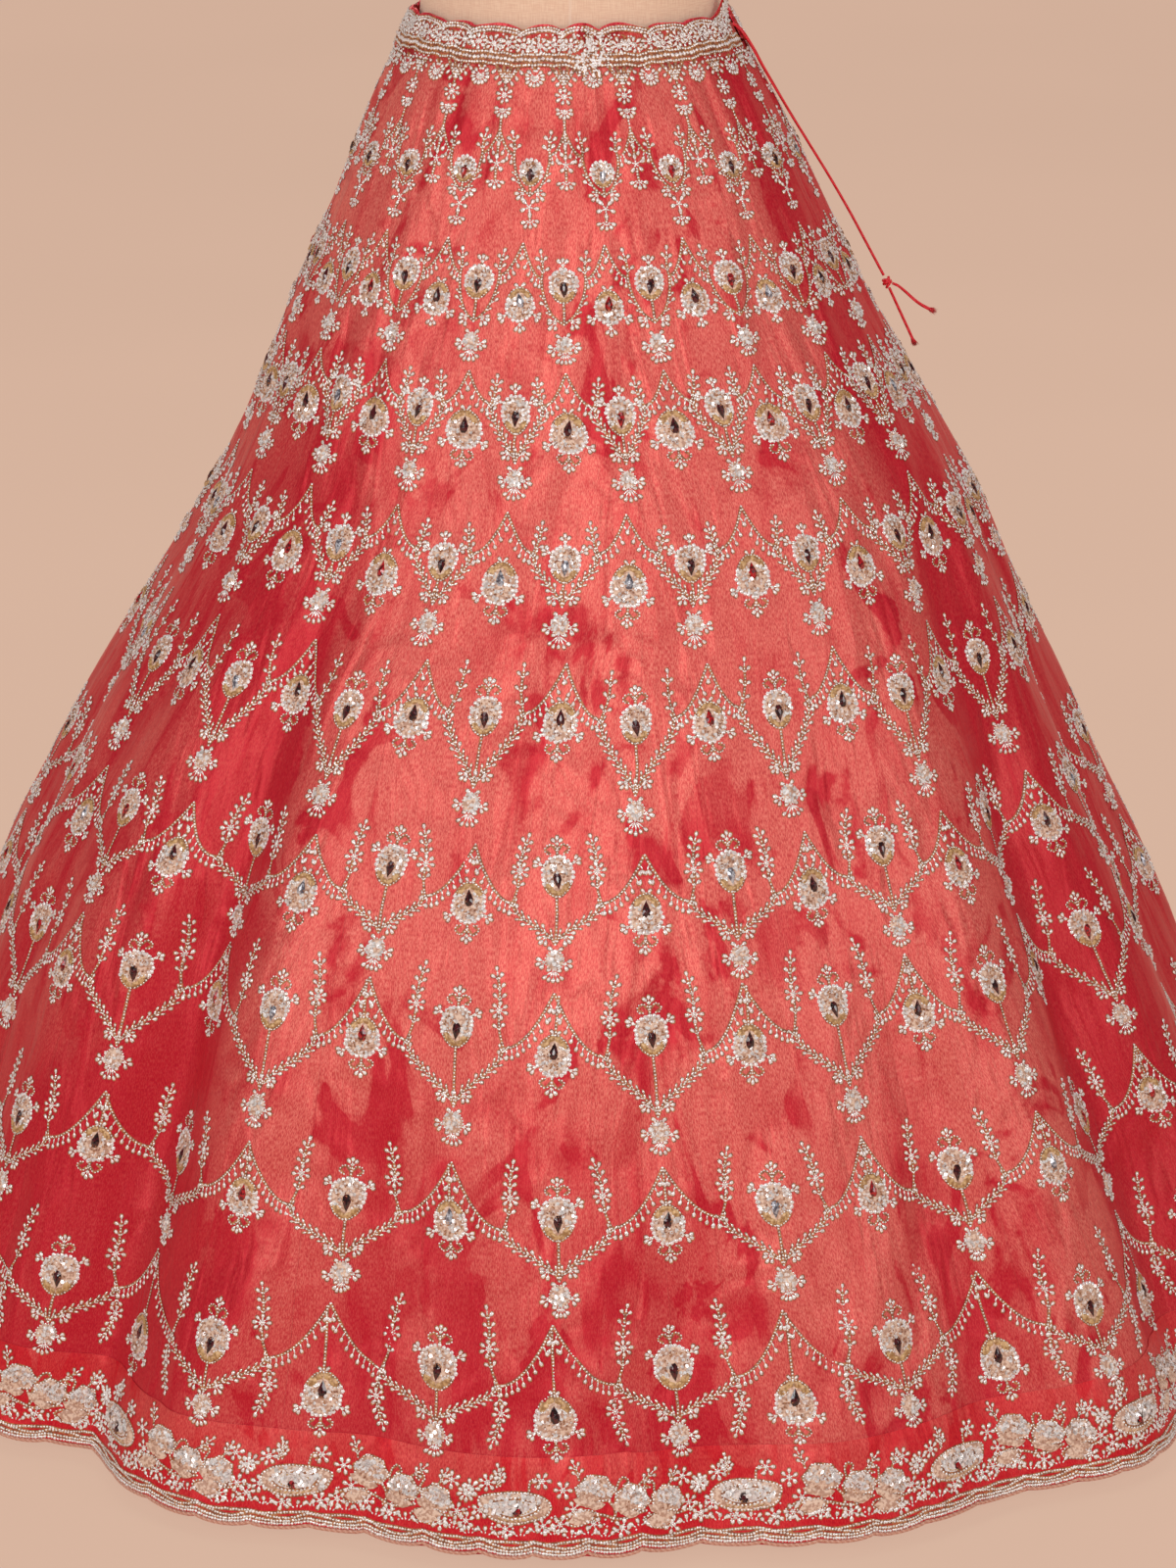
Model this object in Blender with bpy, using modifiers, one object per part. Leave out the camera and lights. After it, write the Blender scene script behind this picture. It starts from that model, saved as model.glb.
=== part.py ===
"""Lehenga skirt, worn by a plain limbless dress form.

Metres, +Z up.  The floor is z = 0, the front of the skirt faces -Y, and the
origin is the middle of the stand's underside.

The skirt is twelve flared panels (kalis) sewn side to side.  Its surface is a
stack of oval rings given in RINGS, with the soft folds of FOLDS pushed in or
out of it.  Every cloth piece is a wall made from points of that one surface,
moved in or out along its normal.
"""
import math

import bmesh
import bpy
from mathutils import Vector

# ------------------------------------------------------------------ sizes
WAIST_Z = 1.057            # upper edge of the belt at the front
HEM_Z = 0.017              # lower edge of the panels
SKIRT_DROP = WAIST_Z - HEM_Z

PANELS = 12
STEPS_PER_PANEL = 8        # facets across one panel
SEAM_AT = 7.0              # angle of the front seam, degrees from straight front
SEAM_GAP = 0.0003
LAYER_GAP = 0.0004

PANEL_WALL = 0.0020
BORDER_WALL = 0.0010
FACING_WALL = 0.0011
BELT_WALL = 0.0016
EDGING_RADIUS = 0.0020

BELT_BOTTOM_V = 0.034      # v runs from 0 at the belt's top to 1 at the hem
PANEL_TOP_V = 0.022
BORDER_TOP_V = 0.937
BELT_STEPS = 72
SLIT_FROM = 76.0           # the belt's side opening, degrees
SLIT_TO = 84.0
SCALLOP_RISE = 0.0042
CORNER_RISE = 0.0125       # the belt's front end stands up at the opening

# rows across a panel, from the waist to the hem
PANEL_ROWS = [PANEL_TOP_V, 0.06, 0.12, 0.20, 0.29, 0.385, 0.485, 0.585,
              0.685, 0.785, 0.865, BORDER_TOP_V, 1.0]

# rings of the skirt: v, sideways centre, half width (metres)
RINGS = [
    (0.00, 0.0000, 0.1219),
    (0.05, 0.0014, 0.1488),
    (0.12, 0.0051, 0.1829),
    (0.22, 0.0086, 0.2307),
    (0.35, 0.0172, 0.2967),
    (0.50, 0.0051, 0.3774),
    (0.65, 0.0003, 0.4536),
    (0.80, 0.0064, 0.5189),
    (1.00, 0.0152, 0.6055),
]
DEPTH_AT_WAIST = 0.78      # half depth / half width
DEPTH_AT_HEM = 0.90
DEPTH_FULL_V = 0.62

# folds: angle at the hem, drift towards the waist, half width (degrees),
# v where it starts, v where it is full, depth in mm (out is positive)
FOLDS = [
    (-70, 2, 6.0, 0.20, 0.80, 12),
    (-56, 4, 6.0, 0.22, 0.75, 13),
    (-42, 7, 4.6, 0.28, 0.72, -33),
    (-29, 5, 5.0, 0.40, 0.85, 12),
    (-17, 4, 4.2, 0.50, 0.92, -9),
    (-5, 3, 6.0, 0.50, 0.95, 8),
    (8, 0, 4.2, 0.60, 0.97, -8),
    (20, -2, 5.5, 0.45, 0.95, 8),
    (32, -2, 4.4, 0.40, 0.90, -11),
    (43, 2, 5.5, 0.30, 0.85, 11),
    (54, 4, 4.6, 0.25, 0.75, -25),
    (66, 4, 6.0, 0.20, 0.75, 13),
    (79, 2, 4.6, 0.18, 0.75, -14),
    (92, 2, 5.5, 0.15, 0.70, 11),
    (106, 2, 4.8, 0.18, 0.75, -20),
    (120, 1, 6.0, 0.22, 0.80, 13),
    (134, 3, 4.8, 0.24, 0.72, -26),
    (148, 2, 5.5, 0.30, 0.85, 12),
    (163, -2, 4.6, 0.26, 0.80, -15),
    (178, 1, 6.0, 0.35, 0.90, 11),
    (193, 3, 4.8, 0.24, 0.76, -24),
    (208, -1, 5.5, 0.28, 0.85, 12),
    (222, 2, 4.6, 0.25, 0.80, -17),
    (236, -2, 6.0, 0.20, 0.78, 13),
    (250, -4, 4.8, 0.22, 0.72, -28),
    (264, -2, 5.5, 0.18, 0.75, 12),
    (277, 0, 4.8, 0.20, 0.78, -19),
]

# dress form: height, half width, half depth, forward shift (metres)
FORM_RINGS = [
    (0.800, 0.118, 0.092, 0.000),
    (0.806, 0.132, 0.104, 0.000),
    (0.822, 0.145, 0.115, 0.000),
    (0.860, 0.155, 0.122, -0.001),
    (0.910, 0.156, 0.122, -0.001),
    (0.960, 0.147, 0.114, -0.001),
    (1.000, 0.132, 0.101, 0.000),
    (1.030, 0.120, 0.0925, 0.000),
    (1.060, 0.1165, 0.0900, 0.000),
    (1.085, 0.1160, 0.0900, 0.000),
    (1.120, 0.119, 0.0935, 0.002),
    (1.170, 0.128, 0.1010, 0.006),
    (1.220, 0.136, 0.1090, 0.012),
    (1.265, 0.139, 0.1110, 0.013),
    (1.310, 0.140, 0.1040, 0.009),
    (1.350, 0.146, 0.0950, 0.003),
    (1.385, 0.150, 0.0850, -0.002),
    (1.410, 0.141, 0.0760, -0.005),
    (1.430, 0.112, 0.0680, -0.008),
    (1.446, 0.076, 0.0600, -0.009),
    (1.465, 0.056, 0.0520, -0.008),
    (1.500, 0.0495, 0.0490, -0.004),
    (1.525, 0.0490, 0.0490, -0.002),
]
FORM_SIDES = 36
NECK_PLATE_RADIUS = 0.050
NECK_PLATE_THICK = 0.008
POLE_RADIUS = 0.0135
BASE_RADIUS = 0.170
BASE_THICK = 0.014

CORD_RADIUS = 0.0011
# drawstring, from the side opening to the knot: angle, v, distance off the cloth
CORD_ROUTE = [
    (80.6, 0.0085, -0.0005),
    (80.9, 0.0105, 0.0016),
    (81.6, 0.0160, 0.0034),
    (83.0, 0.0290, 0.0042),
    (85.5, 0.0430, 0.0036),
    (88.5, 0.0620, 0.0040),
    (91.0, 0.0830, 0.0052),
    (92.5, 0.1060, 0.0074),
    (93.2, 0.1320, 0.0102),
    (93.4, 0.1600, 0.0128),
    (93.4, 0.1860, 0.0142),
    (93.2, 0.2100, 0.0150),
]
KNOT_AT = (93.1, 0.2160, 0.0152)
KNOT_SIZE = (0.0036, 0.0036, 0.0052)
# free ends: sideways, towards the back and down from the knot (metres)
TAIL_A = [(0.0043, 0.0000, 0.0012), (0.0090, 0.0010, 0.0035), (0.0150, 0.0020, 0.0085),
          (0.0215, 0.0028, 0.0145), (0.0275, 0.0030, 0.0190), (0.0340, 0.0030, 0.0225)]
TAIL_B = [(0.0020, 0.0030, 0.0055), (0.0050, 0.0040, 0.0120), (0.0090, 0.0045, 0.0205),
          (0.0135, 0.0046, 0.0300), (0.0180, 0.0046, 0.0395), (0.0215, 0.0046, 0.0470)]

# ------------------------------------------------------------------ scene
for ob in list(bpy.data.objects):
    bpy.data.objects.remove(ob, do_unlink=True)
parts = bpy.data.collections.new("lehenga_skirt_on_dress_form")
bpy.context.scene.collection.children.link(parts)


def material(name, rgb, rough, metal=0.0):
    mat = bpy.data.materials.new(name)
    mat.use_nodes = True
    bsdf = mat.node_tree.nodes["Principled BSDF"]
    bsdf.inputs["Base Color"].default_value = (rgb[0], rgb[1], rgb[2], 1.0)
    bsdf.inputs["Roughness"].default_value = rough
    bsdf.inputs["Metallic"].default_value = metal
    return mat


SILK = material("coral_silk", (0.72, 0.13, 0.11), 0.42)
BELT = material("belt_silk", (0.66, 0.10, 0.09), 0.45)
RED = material("red_satin", (0.62, 0.01, 0.03), 0.38)
BORDER = material("border_silk", (0.55, 0.01, 0.02), 0.45)
EDGE = material("beige_cord", (0.60, 0.42, 0.28), 0.60)
CORD = material("red_cord", (0.58, 0.01, 0.02), 0.45)
LINEN = material("beige_linen", (0.74, 0.58, 0.44), 0.85)
WOOD = material("neck_wood", (0.36, 0.22, 0.12), 0.50)
STEEL = material("stand_steel", (0.62, 0.62, 0.62), 0.35, 1.0)


# ------------------------------------------------------------------ surface
def table(rows, column, v):
    """Value of a column at v, smoothly between the rows of the table."""
    if v <= rows[0][0]:
        return rows[0][column]
    n = len(rows)
    for i in range(n - 1):
        x0, x1 = rows[i][0], rows[i + 1][0]
        if v <= x1 or i == n - 2:
            y0, y1 = rows[i][column], rows[i + 1][column]
            step = (y1 - y0) / (x1 - x0)
            if v > x1:
                return y1 + step * (v - x1)
            before = step
            after = step
            if i > 0:
                before = 0.5 * (step + (y0 - rows[i - 1][column]) / (x0 - rows[i - 1][0]))
            if i < n - 2:
                after = 0.5 * (step + (rows[i + 2][column] - y1) / (rows[i + 2][0] - x1))
            t = (v - x0) / (x1 - x0)
            h = x1 - x0
            return ((2 * t ** 3 - 3 * t ** 2 + 1) * y0 + (t ** 3 - 2 * t ** 2 + t) * h * before
                    + (-2 * t ** 3 + 3 * t ** 2) * y1 + (t ** 3 - t ** 2) * h * after)
    return rows[-1][column]


def smooth(t):
    t = min(1.0, max(0.0, t))
    return t * t * (3.0 - 2.0 * t)


def fold(angle, v):
    """How far the folds push the cloth out at an angle (degrees) and v."""
    push = 0.0
    for at, drift, half, v_start, v_full, depth in FOLDS:
        away = (angle - at - drift * (1.0 - v) + 180.0) % 360.0 - 180.0
        if abs(away) < 3.2 * half:
            grow = smooth((v - v_start) / (v_full - v_start))
            push += 0.001 * depth * grow * math.exp(-(away / half) ** 2)
    return push


def surface(angle, v):
    centre = table(RINGS, 1, v)
    half = table(RINGS, 2, v)
    ratio = DEPTH_AT_WAIST + (DEPTH_AT_HEM - DEPTH_AT_WAIST) * min(1.0, max(0.0, v) / DEPTH_FULL_V)
    a = math.radians(angle)
    out = Vector((math.sin(a) * ratio, -math.cos(a), 0.0)).normalized()
    spot = Vector((centre + half * math.sin(a), -ratio * half * math.cos(a),
                   WAIST_Z - SKIRT_DROP * v))
    return spot + out * fold(angle, v)


def frame_at(angle, v):
    """Point, outward normal, direction round the skirt and direction down."""
    e = 0.4
    around = surface(angle + e, v) - surface(angle - e, v)
    lo, hi = max(v - 0.004, 0.0), max(v + 0.004, 0.004)
    down = surface(angle, hi) - surface(angle, lo)
    normal = down.cross(around)
    normal.normalize()
    around.normalize()
    down.normalize()
    return surface(angle, v), normal, around, down


# ------------------------------------------------------------------ building
def add(name, mesh, mat, smooth_faces=True):
    obj = bpy.data.objects.new(name, mesh)
    parts.objects.link(obj)
    mesh.materials.append(mat)
    if smooth_faces:
        mesh.shade_smooth()
        mesh.set_sharp_from_angle(angle=math.radians(40))
    return obj


def wall(name, outer, inner, mat, closed=False):
    """A cloth wall between two grids of points, outer[i][j] and inner[i][j]."""
    cols, rows = len(outer), len(outer[0])
    verts = [p for col in outer for p in col] + [p for col in inner for p in col]
    half = cols * rows

    def o(i, j):
        return (i % cols) * rows + j

    def n(i, j):
        return half + (i % cols) * rows + j

    faces = []

    def quad(a, b, c, d):
        faces.append((a, b, c))
        faces.append((a, c, d))

    last = cols if closed else cols - 1
    for i in range(last):
        for j in range(rows - 1):
            quad(o(i, j), o(i, j + 1), o(i + 1, j + 1), o(i + 1, j))
            # same diagonal as the outer side, other way round
            a, b, c, d = n(i, j), n(i, j + 1), n(i + 1, j + 1), n(i + 1, j)
            faces.append((a, c, b))
            faces.append((a, d, c))
        quad(o(i, 0), o(i + 1, 0), n(i + 1, 0), n(i, 0))
        quad(o(i + 1, rows - 1), o(i, rows - 1), n(i, rows - 1), n(i + 1, rows - 1))
    if not closed:
        for j in range(rows - 1):
            quad(o(0, j + 1), o(0, j), n(0, j), n(0, j + 1))
            e = cols - 1
            quad(o(e, j), o(e, j + 1), n(e, j + 1), n(e, j))
    mesh = bpy.data.meshes.new(name)
    mesh.from_pydata([tuple(p) for p in verts], [], faces)
    mesh.update()
    bm = bmesh.new()
    bm.from_mesh(mesh)
    if bm.calc_volume(signed=True) < 0:
        bmesh.ops.reverse_faces(bm, faces=bm.faces)
    bm.to_mesh(mesh)
    bm.free()
    return add(name, mesh, mat)


# the kalis
step = 360.0 / (PANELS * STEPS_PER_PANEL)
for p in range(PANELS):
    outer, inner = [], []
    for i in range(STEPS_PER_PANEL + 1):
        angle = SEAM_AT + (p * STEPS_PER_PANEL + i) * step
        tuck = 0.5 * SEAM_GAP * ((i == 0) - (i == STEPS_PER_PANEL))
        col_o, col_i = [], []
        for v in PANEL_ROWS:
            spot, normal, around, down = frame_at(angle, v)
            spot = spot + around * tuck
            col_o.append(spot)
            col_i.append(spot - normal * PANEL_WALL)
        outer.append(col_o)
        inner.append(col_i)
    wall("kali_%02d" % (p + 1), outer, inner, SILK)


def ring_wall(name, rows, out_from, out_to, mat, extra_down=0.0):
    """A closed band lying on or under the panels, from the panels' own points."""
    outer, inner = [], []
    for i in range(PANELS * STEPS_PER_PANEL):
        angle = SEAM_AT + i * step
        col_o, col_i = [], []
        for k, v in enumerate(rows):
            spot, normal, around, down = frame_at(angle, v)
            if k == len(rows) - 1:
                spot = spot + down * extra_down
            col_o.append(spot + normal * out_to)
            col_i.append(spot + normal * out_from)
        outer.append(col_o)
        inner.append(col_i)
    return wall(name, outer, inner, mat, closed=True)


ring_wall("hem_border", [BORDER_TOP_V, 1.0], LAYER_GAP, LAYER_GAP + BORDER_WALL, BORDER)
ring_wall("hem_facing", [BORDER_TOP_V, 1.0], -PANEL_WALL - 0.0009 - FACING_WALL,
          -PANEL_WALL - 0.0009, RED, extra_down=0.0056)


def tube(name, points, radius, mat, cyclic=False, resolution=2):
    curve = bpy.data.curves.new(name, "CURVE")
    curve.dimensions = "3D"
    curve.bevel_depth = radius
    curve.bevel_resolution = resolution
    curve.use_fill_caps = not cyclic
    line = curve.splines.new("POLY")
    line.points.add(len(points) - 1)
    for k, q in enumerate(points):
        line.points[k].co = (q.x, q.y, q.z, 1.0)
    line.use_cyclic_u = cyclic
    obj = bpy.data.objects.new(name, curve)
    parts.objects.link(obj)
    curve.materials.append(mat)
    return obj


edge_points = []
for i in range(PANELS * STEPS_PER_PANEL):
    spot, normal, around, down = frame_at(SEAM_AT + i * step, 1.0)
    edge_points.append(spot - normal * 0.0003 + down * (EDGING_RADIUS + 0.0004))
tube("hem_edging", edge_points, EDGING_RADIUS, EDGE, cyclic=True, resolution=0)


# belt and its facing, both open at the side
def belt_angle(i):
    return SLIT_TO + (360.0 - (SLIT_TO - SLIT_FROM)) * i / BELT_STEPS


def corner(i):
    """1 at the belt's front end, which stands up at the opening."""
    return smooth((belt_angle(i) - 360.0 - SLIT_FROM + 13.0) / 13.0)


def belt_wall(name, top_rise, rows, out_from, out_to, mat, scallop, corner_rise):
    """Open ring on the skirt's surface; above v = 0 it stands straight up."""
    outer, inner = [], []
    for i in range(BELT_STEPS + 1):
        angle = belt_angle(i)
        lift = top_rise + (scallop if i % 2 else 0.0) + corner_rise * corner(i)
        spot, normal, around, down = frame_at(angle, 0.0)
        flat = Vector((normal.x, normal.y, 0.0)).normalized()
        top_edge = spot + Vector((0.0, 0.0, lift))
        bend = (flat + normal).normalized()
        col_o = [top_edge + flat * out_to, spot + bend * out_to]
        col_i = [top_edge + flat * out_from, spot + bend * out_from]
        for v in rows:
            spot, normal, around, down = frame_at(angle, v)
            col_o.append(spot + normal * out_to)
            col_i.append(spot + normal * out_from)
        outer.append(col_o)
        inner.append(col_i)
    return wall(name, outer, inner, mat)


FACING_BOTTOM_V = PANEL_TOP_V - 0.0012
belt_wall("waistband", 0.0006, (FACING_BOTTOM_V, BELT_BOTTOM_V), LAYER_GAP,
          LAYER_GAP + BELT_WALL, BELT, SCALLOP_RISE, CORNER_RISE)
belt_wall("waistband_facing", 0.0060, (FACING_BOTTOM_V,), -FACING_WALL, 0.0, RED,
          0.0, CORNER_RISE - 0.0035)


# drawstring
def spline(points, count):
    """Points spread evenly along a smooth curve through the given ones."""
    def at(k, t):
        p0 = points[max(k - 1, 0)]
        p1, p2 = points[k], points[k + 1]
        p3 = points[min(k + 2, len(points) - 1)]
        return 0.5 * ((2 * p1) + (p2 - p0) * t + (2 * p0 - 5 * p1 + 4 * p2 - p3) * t * t
                      + (3 * p1 - p0 - 3 * p2 + p3) * t * t * t)

    fine = [at(k, s / 24.0) for k in range(len(points) - 1) for s in range(24)] + [points[-1]]
    run = [0.0]
    for a, b in zip(fine, fine[1:]):
        run.append(run[-1] + (b - a).length)
    result = []
    k = 0
    for m in range(count):
        want = run[-1] * m / (count - 1)
        while k < len(run) - 2 and run[k + 1] < want:
            k += 1
        span = run[k + 1] - run[k]
        t = 0.0 if span == 0 else (want - run[k]) / span
        result.append(fine[k].lerp(fine[k + 1], t))
    return result


def off_cloth(angle, v, distance, sideways=0.0):
    spot, normal, around, down = frame_at(angle, v)
    return spot + normal * distance + around * sideways


for name, side in (("drawstring_a", -1.0), ("drawstring_b", 1.0)):
    route = [off_cloth(a, v, d, side * (CORD_RADIUS + 0.00022)) for a, v, d in CORD_ROUTE]
    tube(name, spline(route, 46), CORD_RADIUS, CORD)

knot_spot = off_cloth(*KNOT_AT)
knot_mesh = bpy.data.meshes.new("drawstring_knot")
bm = bmesh.new()
bmesh.ops.create_uvsphere(bm, u_segments=14, v_segments=8, radius=1.0)
for vert in bm.verts:
    vert.co = Vector((vert.co.x * KNOT_SIZE[0], vert.co.y * KNOT_SIZE[1], vert.co.z * KNOT_SIZE[2]))
bm.to_mesh(knot_mesh)
bm.free()
knot = add("drawstring_knot", knot_mesh, CORD)
run = off_cloth(*CORD_ROUTE[-1]) - off_cloth(*CORD_ROUTE[-2])
run.normalize()
last = off_cloth(*CORD_ROUTE[-1])
knot_centre = last + run * (KNOT_SIZE[2] + 0.0012)
knot.location = knot_centre
knot.rotation_euler = run.to_track_quat("Z", "Y").to_euler()

for name, rows in (("drawstring_tail_a", TAIL_A), ("drawstring_tail_b", TAIL_B)):
    pts = [knot_centre + Vector((x, y, -z)) for x, y, z in rows]
    tube(name, spline(pts, 14), CORD_RADIUS, CORD)


# ------------------------------------------------------------------ dress form
def form_grid():
    rows = []
    lo, hi = FORM_RINGS[0][0], FORM_RINGS[-1][0]
    for z, a, b, shift in FORM_RINGS:
        ring = []
        for k in range(FORM_SIDES):
            t = 2.0 * math.pi * k / FORM_SIDES
            ring.append(Vector((a * math.sin(t), -shift - b * math.cos(t), z)))
        rows.append(ring)
    return rows


rings = form_grid()
verts = [tuple(p) for ring in rings for p in ring]
faces = []
for r in range(len(rings) - 1):
    for k in range(FORM_SIDES):
        k2 = (k + 1) % FORM_SIDES
        faces.append((r * FORM_SIDES + k, r * FORM_SIDES + k2,
                      (r + 1) * FORM_SIDES + k2, (r + 1) * FORM_SIDES + k))
faces.append(tuple(reversed(range(FORM_SIDES))))
top = (len(rings) - 1) * FORM_SIDES
faces.append(tuple(top + k for k in range(FORM_SIDES)))
mesh = bpy.data.meshes.new("form_torso")
mesh.from_pydata(verts, [], faces)
mesh.update()
bm = bmesh.new()
bm.from_mesh(mesh)
if bm.calc_volume(signed=True) < 0:
    bmesh.ops.reverse_faces(bm, faces=bm.faces)
bm.to_mesh(mesh)
bm.free()
add("form_torso", mesh, LINEN)


def disc(name, radius, z0, z1, mat, sides, bevel, y=0.0):
    mesh = bpy.data.meshes.new(name)
    bm = bmesh.new()
    bmesh.ops.create_cone(bm, cap_ends=True, segments=sides, radius1=radius, radius2=radius,
                          depth=z1 - z0)
    bm.to_mesh(mesh)
    bm.free()
    obj = add(name, mesh, mat)
    obj.location = (0.0, y, 0.5 * (z0 + z1))
    if bevel:
        mod = obj.modifiers.new("edge", "BEVEL")
        mod.width = bevel
        mod.segments = 2
        mod.limit_method = "ANGLE"
    return obj


neck_top = FORM_RINGS[-1][0]
disc("form_neck_plate", NECK_PLATE_RADIUS, neck_top + 0.0003,
     neck_top + 0.0003 + NECK_PLATE_THICK, WOOD, 36, 0.002, y=0.002)
disc("stand_pole", POLE_RADIUS, BASE_THICK + 0.0003, FORM_RINGS[0][0] - 0.0003, STEEL, 24, 0.0)
disc("stand_base", BASE_RADIUS, 0.0, BASE_THICK, STEEL, 48, 0.004)
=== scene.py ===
"""Looks of the beaded lehenga skirt on its dress form.

The cloth, the embroidery and the drawstring are made here as arrays on one
surface, the same stack of oval rings and folds as the solid parts.  Angles are
in degrees, 0 is straight front and they grow towards +X; v runs from 0 at the
belt's top to 1 at the hem.  Local sizes on the cloth are in millimetres.
"""

import math

import bpy
import numpy as np
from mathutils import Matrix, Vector


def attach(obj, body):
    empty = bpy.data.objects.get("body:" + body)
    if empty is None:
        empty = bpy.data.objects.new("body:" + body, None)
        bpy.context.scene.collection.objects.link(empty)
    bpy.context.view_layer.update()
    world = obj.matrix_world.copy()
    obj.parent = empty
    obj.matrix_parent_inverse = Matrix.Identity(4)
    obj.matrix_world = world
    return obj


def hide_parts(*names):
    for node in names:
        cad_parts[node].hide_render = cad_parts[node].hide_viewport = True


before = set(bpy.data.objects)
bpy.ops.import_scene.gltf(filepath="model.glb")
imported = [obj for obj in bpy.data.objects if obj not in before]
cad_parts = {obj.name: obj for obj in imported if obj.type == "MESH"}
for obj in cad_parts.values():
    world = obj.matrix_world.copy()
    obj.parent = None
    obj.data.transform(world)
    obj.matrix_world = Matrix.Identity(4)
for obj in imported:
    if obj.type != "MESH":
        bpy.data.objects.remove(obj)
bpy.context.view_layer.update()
RNG = np.random.default_rng(20417)

# ------------------------------------------------------------------ sizes
WAIST_Z = 1.057
HEM_Z = 0.017
SKIRT_DROP = WAIST_Z - HEM_Z
PANELS = 12
SEAM_AT = 7.0
PANEL_TOP_V = 0.022
BORDER_TOP_V = 0.937
BELT_BOTTOM_V = 0.034
SLIT_FROM, SLIT_TO = 76.0, 84.0
CORNER_RISE = 12.5          # mm, the belt's raised front end
DEPTH_AT_WAIST, DEPTH_AT_HEM, DEPTH_FULL_V = 0.78, 0.90, 0.62
SLANT = 1150.0              # mm of cloth for one v
SCALLOPS = 88               # waves round the hem
SCALLOP_DEPTH = 2.6         # mm

# v, sideways centre, half width (metres)
RINGS = [
    (0.00, 0.0000, 0.1219), (0.05, 0.0014, 0.1488), (0.12, 0.0051, 0.1829),
    (0.22, 0.0086, 0.2307), (0.35, 0.0172, 0.2967), (0.50, 0.0051, 0.3774),
    (0.65, 0.0003, 0.4536), (0.80, 0.0064, 0.5189), (1.00, 0.0152, 0.6055),
]

# angle at the hem, drift, half width (degrees), v start, v full, depth mm
FOLDS = [
    (-70, 2, 6.0, 0.20, 0.80, 12), (-56, 4, 6.0, 0.22, 0.75, 13),
    (-42, 7, 4.6, 0.28, 0.72, -33), (-29, 5, 5.0, 0.40, 0.85, 12),
    (-17, 4, 4.2, 0.50, 0.92, -9), (-5, 3, 6.0, 0.50, 0.95, 8),
    (8, 0, 4.2, 0.60, 0.97, -8), (20, -2, 5.5, 0.45, 0.95, 8),
    (32, -2, 4.4, 0.40, 0.90, -11), (43, 2, 5.5, 0.30, 0.85, 11),
    (54, 4, 4.6, 0.25, 0.75, -25), (66, 4, 6.0, 0.20, 0.75, 13),
    (79, 2, 4.6, 0.18, 0.75, -14), (92, 2, 5.5, 0.15, 0.70, 11),
    (106, 2, 4.8, 0.18, 0.75, -20), (120, 1, 6.0, 0.22, 0.80, 13),
    (134, 3, 4.8, 0.24, 0.72, -26), (148, 2, 5.5, 0.30, 0.85, 12),
    (163, -2, 4.6, 0.26, 0.80, -15), (178, 1, 6.0, 0.35, 0.90, 11),
    (193, 3, 4.8, 0.24, 0.76, -24), (208, -1, 5.5, 0.28, 0.85, 12),
    (222, 2, 4.6, 0.25, 0.80, -17), (236, -2, 6.0, 0.20, 0.78, 13),
    (250, -4, 4.8, 0.22, 0.72, -28), (264, -2, 5.5, 0.18, 0.75, 12),
    (277, 0, 4.8, 0.20, 0.78, -19),
]

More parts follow.
